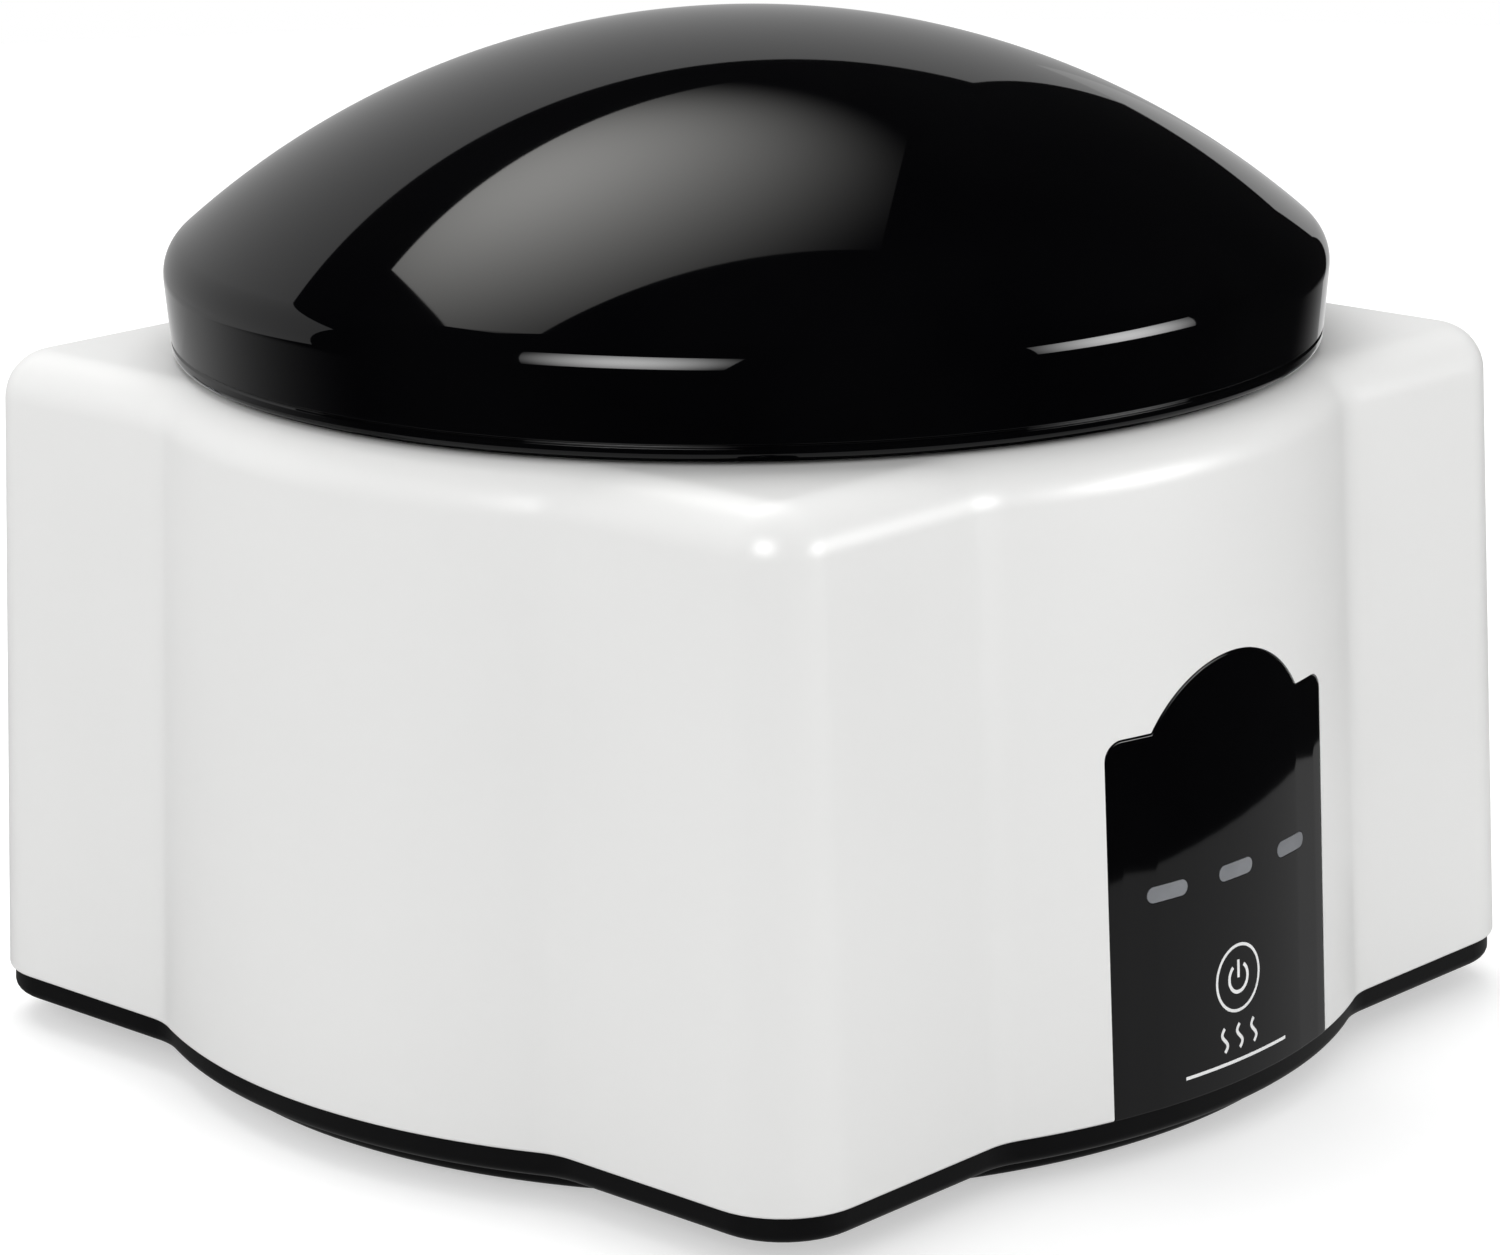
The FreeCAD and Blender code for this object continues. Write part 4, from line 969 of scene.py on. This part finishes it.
def square_places(distance):
    """Four places on the diagonals, this far from both middle lines."""
    return [(x, y, 0) for x in (-distance, distance) for y in (-distance, distance)]


def stepped(name, steps):
    """Upright round tool of stacked cylinders: each step is a radius and the heights of its ends."""
    profile = [(0, steps[0][1])]
    for radius, low, high in steps:
        profile += [(radius, low), (radius, high)]
    return spun(name, profile + [(0, steps[-1][2])], steps=48)


tower_top = band_z + TOWER_H
tower = stepped("tower", [(TOWER_R, band_z + TRAY_FLOOR_T / 2, tower_top)])
towers = copies_at(tower, square_places(TOWER_PLACE))
posts = copies_at(stepped("board_post", [(POST_R, floor_z - TRAY_FLOOR_T / 2, POST_TOP)]), POST_PLACES)
boolean(tray, joined([towers, posts]), "UNION")

screw_way = stepped("screw_way", [
    (SCREW_WELL_R, band_z - SPARE, band_z + SCREW_WELL_H),
    (SCREW_HOLE_R, band_z + SCREW_WELL_H, tower_top + SPARE),
])
pilot = stepped("pilot_hole", [(PILOT_R, POST_TOP - PILOT_H, POST_TOP + SPARE)])
foot_seat = stepped("foot_seat", [(FOOT_R, plinth_z - SPARE, plinth_z + FOOT_RECESS)])
round_cuts = joined([
    copies_at(screw_way, square_places(TOWER_PLACE)),
    copies_at(pilot, POST_PLACES),
    copies_at(foot_seat, square_places(FOOT_PLACE)),
])
boolean(tray, round_cuts, "DIFFERENCE")

bpy.ops.object.select_all(action="DESELECT")
bpy.ops.mesh.primitive_cube_add(
    size=1, location=(0, VENT_Y, plinth_z), scale=(VENT_W, VENT_L, 3 * TRAY_FLOOR_T)
)
vent = only(bpy.context.object)
bpy.ops.object.transform_apply(location=True, rotation=True, scale=True)
round_ends = vent.modifiers.new("round_ends", "BEVEL")
round_ends.width = VENT_END_R
round_ends.segments = 6
bpy.ops.object.modifier_apply(modifier=round_ends.name)
boolean(tray, copies_at(vent, [(step * VENT_PITCH, 0, 0) for step in range(-3, 4)]), "DIFFERENCE")
smooth(tray)
tell(tray)
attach(tray, "housing")
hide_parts("base_tray")
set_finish(tray, "black_satin_abs")

# %% [markdown]
# ## Rubber feet
#
# Four soft pads stand a little proud of the base. Each is a turned disc with a hollow sole, so
# only its rim touches the table. One is spun and the rest are copies.

# %% Rubber feet
feet_low, feet_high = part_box("rubber_feet")
PAD_EDGE_R = 0.6 * MM
SOLE_R = 5 * MM
SOLE_HOLLOW = 0.4 * MM
SOLE_EDGE_R = 0.3 * MM
SOLE_RIM_R = 0.2 * MM
PAD_TOP_R = 0.2 * MM

foot = spun("rubber_foot", eased([
    (0, feet_low.z + SOLE_HOLLOW, 0),
    (SOLE_R, feet_low.z + SOLE_HOLLOW, SOLE_EDGE_R),
    (SOLE_R + SOLE_HOLLOW, feet_low.z, SOLE_RIM_R),
    (FOOT_R, feet_low.z, PAD_EDGE_R),
    (FOOT_R, feet_high.z, PAD_TOP_R),
    (0, feet_high.z, 0),
]), steps=64)
feet = smooth(copies_at(foot, square_places(FOOT_PLACE)))
feet.name = "foot_pads"
tell(feet)
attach(feet, "housing")
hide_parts("rubber_feet")
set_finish(feet, "foot_rubber")

# %% [markdown]
# ## Finishes
#
# A finish starts from what the material is and how its surface was made. Colours are written as
# sRGB hex values, as one reads them off a screen, and turned to linear light by one function. One
# more function adds a node with its settings and links, so each finish below reads as a list of
# what it is made of.

# %% Finish helpers


def colour(hex_value):
    """Linear colour with alpha from an sRGB hex value such as 1A1A1B."""
    shares = [int(hex_value[start:start + 2], 16) / 255 for start in (0, 2, 4)]
    linear = [share / 12.92 if share <= 0.04045 else ((share + 0.055) / 1.055) ** 2.4 for share in shares]
    return (*linear, 1.0)


def add(tree, kind, inputs=None, **settings):
    """Adds one node. Inputs are plain values or another node's output, by socket name."""
    node = tree.nodes.new(kind)
    for name, value in settings.items():
        setattr(node, name, value)
    for name, value in (inputs or {}).items():
        if isinstance(value, bpy.types.NodeSocket):
            tree.links.new(value, node.inputs[name])
        else:
            node.inputs[name].default_value = value
    return node


def empty_material(name):
    """New material with only its output node, and the tree to build in."""
    material = bpy.data.materials.new(name)
    material.use_nodes = True
    material.node_tree.nodes.clear()
    return material, material.node_tree


def two_tone(tree, value, colours, reach):
    """Ramp between two colours, as a value runs from one end of its reach to the other."""
    ramp = add(tree, "ShaderNodeValToRGB", {"Fac": value})
    for stop, position, hex_value in zip(ramp.color_ramp.elements, reach, colours):
        stop.position = position
        stop.color = colour(hex_value)
    return ramp


def per_metre(feature_mm):
    """Texture scale at which one feature is this many millimetres wide."""
    return 1 / (feature_mm * MM)


print("white as linear light:", [round(share, 3) for share in colour("E4E4E1")[:3]])

# %% [markdown]
# ## Moulded plastics and rubber
#
# ABS, acrylic and rubber parts come out of polished or spark-eroded steel moulds. What tells them
# apart is the grain that the mould leaves and how glossy it is. So one recipe serves them all:
# two close colours mixed by a cloudy noise, a roughness that wanders a little, and a grain as
# bump, all in real millimetres.

# %% Moulded finishes


def moulded(name, colours, rough, grain_mm, grain_depth_mm, cloud_mm=35, ior=1.5, specular=0.5):
    """Plastic or rubber: colour clouds, wandering roughness and the mould's grain."""
    material, tree = empty_material(name)
    place = add(tree, "ShaderNodeTexCoord").outputs["Object"]
    cloud = add(tree, "ShaderNodeTexNoise", {"Vector": place, "Scale": per_metre(cloud_mm), "Detail": 3.0})
    ramp = two_tone(tree, cloud.outputs["Fac"], colours, (0.35, 0.65))
    worn = add(tree, "ShaderNodeMapRange", {
        "Value": cloud.outputs["Fac"], "From Min": 0.3, "From Max": 0.7,
        "To Min": rough[0], "To Max": rough[1],
    })
    grain = add(tree, "ShaderNodeTexNoise", {"Vector": place, "Scale": per_metre(grain_mm), "Detail": 2.0})
    bump = add(tree, "ShaderNodeBump", {
        "Height": grain.outputs["Fac"], "Distance": grain_depth_mm * MM, "Strength": 1.0,
    })
    shader = add(tree, "ShaderNodeBsdfPrincipled", {
        "Base Color": ramp.outputs["Color"], "Roughness": worn.outputs["Result"],
        "Normal": bump.outputs["Normal"], "IOR": ior, "Specular IOR Level": specular,
    })
    add(tree, "ShaderNodeOutputMaterial", {"Surface": shader.outputs["BSDF"]})
    return material


finishes = {
    # Polished white ABS: clear gloss over a barely wavy surface.
    "white_gloss_abs": moulded("polished_white_abs", ("E4E4E3", "E5E5E4"), (0.3, 0.33), 6, 0.0015),
    # Mirror-polished black ABS: deep black that shows the studio.
    "black_gloss_abs": moulded("mirror_black_abs", ("020203", "040405"), (0.02, 0.04), 14, 0.0006),
    # Black acrylic sheet, printed from behind.
    "black_gloss_acrylic": moulded(
        "black_acrylic_sheet", ("030304", "050506"), (0.03, 0.05), 18, 0.0004, ior=1.49
    ),
    # Satin black ABS from a fine spark-eroded mould.
    "black_satin_abs": moulded(
        "satin_black_abs", ("080809", "0B0B0C"), (0.32, 0.42), 0.5, 0.012, specular=0.12
    ),
    # Heat-proof black plate with a velvety spark-eroded grain.
    "black_plate_plastic": moulded(
        "grained_black_plate", ("171718", "1C1C1D"), (0.36, 0.46), 0.6, 0.02
    ),
    "black_liner_plastic": moulded("satin_black_liner", ("1A1A1B", "1F1F20"), (0.3, 0.4), 0.7, 0.01),
    "dark_moulding": moulded("dark_inner_moulding", ("242425", "2B2B2C"), (0.4, 0.5), 0.8, 0.02),
    # Matt rubber with a powdery bloom.
    "foot_rubber": moulded(
        "matt_foot_rubber", ("1B1B1B", "242423"), (0.75, 0.88), 0.4, 0.02, cloud_mm=6
    ),
    # Milky silicone, soft to the eye.
    "silicone": moulded(
        "milky_silicone", ("BDBCB8", "C8C7C3"), (0.42, 0.55), 1.2, 0.01, cloud_mm=12, ior=1.41
    ),
    "conductive_foam": moulded(
        "grey_touch_foam", ("3A3A3C", "4A4A4C"), (0.8, 0.95), 0.5, 0.08, cloud_mm=2
    ),
    "lead_insulation": moulded(
        "red_lead_insulation", ("A81A14", "B8221B"), (0.35, 0.45), 1.0, 0.01, cloud_mm=8
    ),
    "ribbon_insulation": moulded(
        "grey_ribbon", ("A4A4A6", "B0B0B2"), (0.35, 0.5), 1.0, 0.01, cloud_mm=6
    ),
    # Milky acrylic of the status lights, unlit.
    "light_diffuser": moulded(
        "milky_diffuser", ("727478", "7C7E82"), (0.3, 0.4), 0.8, 0.004, cloud_mm=5
    ),
    # White screen ink, a thin matt coat.
    "white_print": moulded(
        "white_screen_ink", ("E4E5E5", "ECECEC"), (0.45, 0.55), 0.5, 0.004, cloud_mm=5
    ),
}
print("moulded finishes:", len(finishes))

# %% [markdown]
# ## Metals
#
# A metal has no colour below its gloss, so its look is all in how it was worked. The bowl is
# drawn and brushed round its axis, which stretches the scratches along circles. Sheet and screws
# are zinc plated, with a faint spangle. Noise that is stretched far along one direction gives the
# brushing.

# %% Metal finishes


def brushed(name, colours, rough, scratch_mm, scratch_depth_mm, ring):
    """Brushed metal: fine lines, drawn as rings round Z or along X, drawn coarse enough to show."""
    material, tree = empty_material(name)
    place = add(tree, "ShaderNodeTexCoord").outputs["Object"]
    parts = add(tree, "ShaderNodeSeparateXYZ", {"Vector": place})
    if ring:
        flat = add(tree, "ShaderNodeCombineXYZ", {"X": parts.outputs["X"], "Y": parts.outputs["Y"]})
        radius = add(tree, "ShaderNodeVectorMath", {0: flat.outputs["Vector"]}, operation="LENGTH")
        lines_at = add(tree, "ShaderNodeCombineXYZ", {"X": radius.outputs["Value"], "Y": parts.outputs["Z"]})
    else:
        lines_at = add(tree, "ShaderNodeCombineXYZ", {"X": parts.outputs["Y"], "Y": parts.outputs["Z"]})
    lines = add(tree, "ShaderNodeTexNoise", {
        "Vector": lines_at.outputs["Vector"], "Scale": per_metre(scratch_mm), "Detail": 4.0,
    })
    ramp = two_tone(tree, lines.outputs["Fac"], colours, (0.3, 0.7))
    worn = add(tree, "ShaderNodeMapRange", {
        "Value": lines.outputs["Fac"], "From Min": 0.3, "From Max": 0.7,
        "To Min": rough[0], "To Max": rough[1],
    })
    bump = add(tree, "ShaderNodeBump", {
        "Height": lines.outputs["Fac"], "Distance": scratch_depth_mm * MM, "Strength": 1.0,
    })
    shader = add(tree, "ShaderNodeBsdfPrincipled", {
        "Base Color": ramp.outputs["Color"], "Metallic": 1.0, "Roughness": worn.outputs["Result"],
        "Normal": bump.outputs["Normal"],
    })
    add(tree, "ShaderNodeOutputMaterial", {"Surface": shader.outputs["BSDF"]})
    return material


finishes["basin_aluminium"] = brushed(
    "drawn_brushed_aluminium", ("C4C6C9", "D6D8DA"), (0.24, 0.36), 0.5, 0.004, ring=True
)
finishes["heater_aluminium"] = brushed(
    "machined_aluminium", ("B4B6B9", "C6C8CA"), (0.28, 0.4), 0.4, 0.006, ring=True
)
finishes["zinc_steel"] = brushed(
    "zinc_plated_steel", ("B9BCC2", "CDD0D4"), (0.25, 0.4), 0.3, 0.004, ring=False
)
finishes["sheet_steel"] = brushed(
    "rolled_sheet_steel", ("A9AAAC", "BCBDBF"), (0.3, 0.45), 0.4, 0.005, ring=False
)
print("finishes with metals:", len(finishes))

# %% [markdown]
# ## Felt and circuit board
#
# Two inner materials need their own recipe. Pressed felt is a tangle of fibres, so its bump is a
# fine, deep noise over a mottled beige. A circuit board is green lacquer over copper tracks,
# which show as paler bands.

# %% Felt and laminate
finishes["felt"] = moulded(
    "pressed_felt", ("C2BDAF", "D6D1C4"), (0.9, 0.98), 0.6, 0.25, cloud_mm=3, specular=0.1
)

TRACK_PITCH_MM = 12
TRACK_SHARE = 0.03
TRACK_RISE = 0.03 * MM
laminate, tree = empty_material("green_circuit_laminate")
board_place = add(tree, "ShaderNodeTexCoord").outputs["Object"]
tracks = add(tree, "ShaderNodeTexBrick", {
    "Vector": board_place, "Scale": per_metre(TRACK_PITCH_MM), "Mortar Size": TRACK_SHARE,
    "Color1": colour("0F5A2B"), "Color2": colour("126330"), "Mortar": colour("2F8A4E"),
})
solder_mask = add(tree, "ShaderNodeBump", {
    "Height": tracks.outputs["Fac"], "Distance": TRACK_RISE, "Strength": 1.0,
})
board_shader = add(tree, "ShaderNodeBsdfPrincipled", {
    "Base Color": tracks.outputs["Color"], "Roughness": 0.3, "Normal": solder_mask.outputs["Normal"],
})
add(tree, "ShaderNodeOutputMaterial", {"Surface": board_shader.outputs["BSDF"]})
finishes["circuit_laminate"] = laminate
print("all finishes:", sorted(finishes))

# %% [markdown]
# ## Dressing every piece
#
# New pieces name their slot, and the record names the slot of every CAD node. A CAD node is a
# heap of loose triangles, so three live modifiers smooth it without touching its mesh: Weld joins
# the triangles, Edge Split keeps the hard edges and Weighted Normal keeps its flats flat.

# %% Dress the pieces
HARD_ANGLE = math.radians(32)

new_pieces = [casing, lid, liner, seal, plate, panel, power_sign, steam_sign, tray, feet]
printed = {power_sign, steam_sign}
for piece in new_pieces:
    piece.data.materials.clear()
    piece.data.materials.append(finishes["white_print" if piece in printed else piece["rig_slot"]])

carried = 0
for subpart in frame["record"]["subparts"]:
    node = nodes[subpart["node"]]
    node.data.materials.clear()
    node.data.materials.append(finishes[subpart["material_slot"]])
    if node.hide_render:
        continue
    node.data.polygons.foreach_set("use_smooth", [True] * len(node.data.polygons))
    weld = node.modifiers.new("weld", "WELD")
    weld.merge_threshold = WELD_GAP
    split = node.modifiers.new("split", "EDGE_SPLIT")
    split.split_angle = HARD_ANGLE
    node.modifiers.new("weigh", "WEIGHTED_NORMAL")
    carried += 1
print("new pieces:", len(new_pieces), "CAD nodes shown:", carried)

# %% [markdown]
# ## Studio: floor and background
#
# The photograph stands on pure white. A floor that is simply lit white would burn out the pale
# casing, so the floor keeps a plain pale colour and adds a little light of its own for camera
# rays only. The shadow of the pot still shows on it. The world does the same: white to the
# camera, soft light to everything else.

# %% Floor and world
FLOOR_R = 1.0
FLOOR_GLOW = 0.45
AMBIENT = 0.64
ROOM_DARK = 0.01

bpy.ops.object.select_all(action="DESELECT")
bpy.ops.mesh.primitive_circle_add(vertices=96, radius=FLOOR_R, fill_type="NGON")
floor = bpy.context.object
floor.name = "studio_floor"
floor.visible_glossy = False
pale, tree = empty_material("pale_paper_floor")
to_camera = add(tree, "ShaderNodeLightPath").outputs["Is Camera Ray"]
paper = add(tree, "ShaderNodeBsdfDiffuse", {"Color": colour("D3D3D3")})
glow = add(tree, "ShaderNodeEmission", {"Color": (1, 1, 1, 1), "Strength": FLOOR_GLOW})
both = add(tree, "ShaderNodeAddShader", {0: paper.outputs["BSDF"], 1: glow.outputs["Emission"]})
shown = add(tree, "ShaderNodeMixShader", {
    "Fac": to_camera, 1: paper.outputs["BSDF"], 2: both.outputs["Shader"],
})
add(tree, "ShaderNodeOutputMaterial", {"Surface": shown.outputs["Shader"]})
floor.data.materials.append(pale)

world = bpy.data.worlds.new("studio_world")
bpy.context.scene.world = world
world.use_nodes = True
tree = world.node_tree
tree.nodes.clear()
path_kind = add(tree, "ShaderNodeLightPath")
white = add(tree, "ShaderNodeBackground", {"Color": (1, 1, 1, 1), "Strength": 1.0})
soft = add(tree, "ShaderNodeBackground", {"Color": (1, 1, 1, 1), "Strength": AMBIENT})
dark = add(tree, "ShaderNodeBackground", {"Color": (1, 1, 1, 1), "Strength": ROOM_DARK})
unlit = add(tree, "ShaderNodeMixShader", {
    "Fac": path_kind.outputs["Is Glossy Ray"], 1: soft.outputs["Background"], 2: dark.outputs["Background"],
})
seen = add(tree, "ShaderNodeMixShader", {
    "Fac": path_kind.outputs["Is Camera Ray"], 1: unlit.outputs["Shader"], 2: white.outputs["Background"],
})
add(tree, "ShaderNodeOutputWorld", {"Surface": seen.outputs["Shader"]})
print("floor and world ready")

# %% [markdown]
# ## Studio: what the black gloss reflects
#
# Black gloss has no picture of its own. The photograph's lid shows a pale wall behind the pot, a
# softbox overhead that fades to its edges, and a dark room. White paper on the table and a
# backdrop edge the lid with pale rims. Cards that only glossy rays can see stand for them, placed
# by following the reflections back from the lid. They light nothing, so the casing keeps its
# colour. The lid's side mirrors no white casing there, so the casing is kept out of reflections
# too.

# %% Reflected cards
forward = Vector((-back.x, -back.y, 0)).normalized()
sideways = Vector((forward.y, -forward.x, 0))
LID_MIDDLE = Vector((0, 0, 120 * MM))


def card(name, corners, strength, tint="FFFFFF", fade=None):
    """Glowing quad seen by glossy rays only: corners are points, fade is a middle point and a reach."""
    bpy.ops.object.select_all(action="DESELECT")
    bpy.ops.mesh.primitive_plane_add(size=1)
    piece = bpy.context.object
    piece.name = name
    for vertex, corner in zip(piece.data.vertices, (corners[0], corners[1], corners[3], corners[2])):
        vertex.co = corner
    material, tree = empty_material(name)
    light = add(tree, "ShaderNodeEmission", {"Color": colour(tint), "Strength": strength})
    if fade:
        middle, reach = fade
        place = add(tree, "ShaderNodeTexCoord").outputs["Object"]
        from_middle = add(tree, "ShaderNodeVectorMath", {0: place, 1: tuple(middle)}, operation="DISTANCE")
        dim = add(tree, "ShaderNodeMapRange", {
            "Value": from_middle.outputs["Value"], "From Min": 0.0, "From Max": reach,
            "To Min": 0.0, "To Max": 1.0,
        }, interpolation_type="SMOOTHSTEP")
        clear = add(tree, "ShaderNodeBsdfTransparent")
        shown = add(tree, "ShaderNodeMixShader", {
            "Fac": dim.outputs["Result"], 1: light.outputs["Emission"], 2: clear.outputs["BSDF"],
        })
        add(tree, "ShaderNodeOutputMaterial", {"Surface": shown.outputs["Shader"]})
    else:
        add(tree, "ShaderNodeOutputMaterial", {"Surface": light.outputs["Emission"]})
    piece.data.materials.append(material)
    piece.visible_camera = False
    piece.visible_diffuse = False
    piece.visible_shadow = False
    return piece


def on_ceiling(ahead, aside, height):
    """Point on a level plane over the lid: shares of its height ahead of and beside the middle."""
    return LID_MIDDLE + (forward * ahead + sideways * aside + Vector((0, 0, 1))) * height


def on_floor(ahead, aside):
    """Point on the floor: metres ahead of and beside the middle."""
    return forward * ahead + sideways * aside


CEILING_H = 0.9
softbox = card(
    "reflected_softbox",
    [
        on_ceiling(1.42, 0.35, CEILING_H),
        on_ceiling(0.51, -0.74, CEILING_H),
        on_ceiling(-0.07, -0.57, CEILING_H),
        on_ceiling(0.17, 0.25, CEILING_H),
    ],
    strength=3.3,
    tint="FFFEFB",
    fade=(on_ceiling(0.5, -0.38, CEILING_H), 0.66),
)

WALL_D = 1.2
WALL_TURN = math.radians(-32)
wall_out = forward * math.cos(WALL_TURN) + sideways * math.sin(WALL_TURN)
wall_side = Vector((wall_out.y, -wall_out.x, 0))
wall_foot = LID_MIDDLE + wall_out * WALL_D
WALL_RIGHT = wall_side * 1.08 * WALL_D
WALL_LEFT = wall_side * 1.6 * WALL_D
WALL_RISE = Vector((0, 0, 0.81 * WALL_D))
WALL_DROP = Vector((0, 0, 0.3))
wall = card(
    "reflected_wall",
    [
        wall_foot + WALL_RIGHT + WALL_RISE,
        wall_foot - WALL_LEFT + WALL_RISE,
        wall_foot - WALL_LEFT - WALL_DROP,
        wall_foot + WALL_RIGHT - WALL_DROP,
    ],
    strength=0.47,
)
paper_left = card(
    "reflected_paper",
    [
        on_floor(-0.3, -1.0),
        on_floor(1.0, -1.0),
        on_floor(1.0, 0.3),
        on_floor(-0.05, -0.08),
    ],
    strength=0.42,
    fade=(on_floor(0.3, -0.35), 0.42),
)

SWEEP_RISE = Vector((0, 0, 0.5 * MM))
SWEEP_NEAR, SWEEP_MIDDLE, SWEEP_FAR = 0.05, 0.45, 0.9
SWEEP_HALF_W = 0.45
SWEEP_REACH = 0.4
sweep = card(
    "reflected_sweep",
    [corner + SWEEP_RISE for corner in (
        on_floor(SWEEP_NEAR, -SWEEP_HALF_W),
        on_floor(SWEEP_FAR, -SWEEP_HALF_W),
        on_floor(SWEEP_FAR, SWEEP_HALF_W),
        on_floor(SWEEP_NEAR, SWEEP_HALF_W),
    )],
    strength=1.0,
    fade=(on_floor(SWEEP_MIDDLE, 0) + SWEEP_RISE, SWEEP_REACH),
)
BACKDROP_D = 1.15
BACKDROP_LEFT, BACKDROP_RIGHT = 0.24, 0.54
BACKDROP_TOP = Vector((0, 0, 0.33))
BACKDROP_FOOT = Vector((0, 0, -0.25))
backdrop = card(
    "reflected_backdrop",
    [
        on_floor(BACKDROP_D, BACKDROP_LEFT) + BACKDROP_TOP,
        on_floor(BACKDROP_D, BACKDROP_LEFT) + BACKDROP_FOOT,
        on_floor(BACKDROP_D, BACKDROP_RIGHT) + BACKDROP_FOOT,
        on_floor(BACKDROP_D, BACKDROP_RIGHT) + BACKDROP_TOP,
    ],
    strength=0.58,
)

TABLE_R = 0.24
TABLE_GLOW = 0.35
bpy.ops.object.select_all(action="DESELECT")
bpy.ops.mesh.primitive_circle_add(vertices=64, radius=TABLE_R, fill_type="NGON")
table = bpy.context.object
table.name = "reflected_table"
table_glow, tree = empty_material("reflected_table")
table_light = add(tree, "ShaderNodeEmission", {"Color": (1, 1, 1, 1), "Strength": TABLE_GLOW})
add(tree, "ShaderNodeOutputMaterial", {"Surface": table_light.outputs["Emission"]})
table.data.materials.append(table_glow)
table.visible_camera = False
table.visible_diffuse = False
table.visible_shadow = False
casing.visible_glossy = False
print("cards:", [piece.name for piece in (softbox, wall, paper_left, sweep, backdrop, table)])

# %% [markdown]
# ## Studio: lamps
#
# Two large softboxes stand left and right of the camera, one for each flank, a weak fill stands
# farther round on each side, and one more hangs overhead. Large lamps give the even light of the
# photograph, and the lid's shoulder shows the two side boxes as streaks.

# %% Lamps
FACE_FADE = 1.3


def softbox_lamp(name, azimuth, elevation, distance, width, height, power):
    """Area lamp that faces the pot: azimuth is from straight ahead of the camera, to the right."""
    turn = math.radians(azimuth)
    rise = math.radians(elevation)
    flat = forward * math.cos(turn) + sideways * math.sin(turn)
    towards = flat * math.cos(rise) + Vector((0, 0, math.sin(rise)))
    data = bpy.data.lights.new(name, "AREA")
    data.shape = "RECTANGLE"
    data.size = width
    data.size_y = height
    data.energy = power
    lamp = bpy.data.objects.new(name, data)
    bpy.context.scene.collection.objects.link(lamp)
    facing = towards.to_track_quat("Z", "Y").to_matrix().to_4x4()
    lamp.matrix_world = Matrix.Translation(AIM + towards * distance) @ facing
    lamp.visible_camera = False
    lamp.visible_glossy = False
    return lamp


def streak(lamp, strength, height_share):
    """Glossy-only face of a lamp, bright in its middle: height_share trims it to a low strip."""
    signs = ((-1, -1), (1, -1), (1, 1), (-1, 1))
    half = Vector((lamp.data.size, lamp.data.size_y * height_share, 0)) / 2
    corners = [lamp.matrix_world @ Vector((x * half.x, y * half.y, 0)) for x, y in signs]
    fade = (lamp.matrix_world.translation, half.x * FACE_FADE)
    return card(lamp.name + "_face", corners, strength, fade=fade)


SIDE_BOX = {"distance": 1.1, "width": 0.75, "height": 0.55}
FILL_BOX = {"distance": 1.2, "width": 0.9, "height": 0.7}
TOP_BOX = {"distance": 1.0, "width": 1.0, "height": 0.8}
left_lamp = softbox_lamp("left_softbox", azimuth=-157, elevation=24, power=3.4, **SIDE_BOX)
right_lamp = softbox_lamp("right_softbox", azimuth=107, elevation=12, power=3.3, **SIDE_BOX)
left_fill = softbox_lamp("left_fill", azimuth=-85, elevation=20, power=1.6, **FILL_BOX)
right_fill = softbox_lamp("right_fill", azimuth=70, elevation=14, power=0.5, **FILL_BOX)
top_lamp = softbox_lamp("top_softbox", azimuth=-20, elevation=65, power=6.6, **TOP_BOX)
for lamp, glare, height_share in ((left_lamp, 10, 0.9), (right_lamp, 11, 0.55)):
    print("face:", streak(lamp, glare, height_share).name)
print("lamps:", [lamp.name for lamp in (left_lamp, right_lamp, left_fill, right_fill, top_lamp)])

# %% [markdown]
# ## View settings
#
# The Standard view transform shows colours as they are, so the whites and blacks of the finishes
# stay true.

# %% View settings
bpy.context.scene.view_settings.view_transform = "Standard"
print("view transform:", bpy.context.scene.view_settings.view_transform)
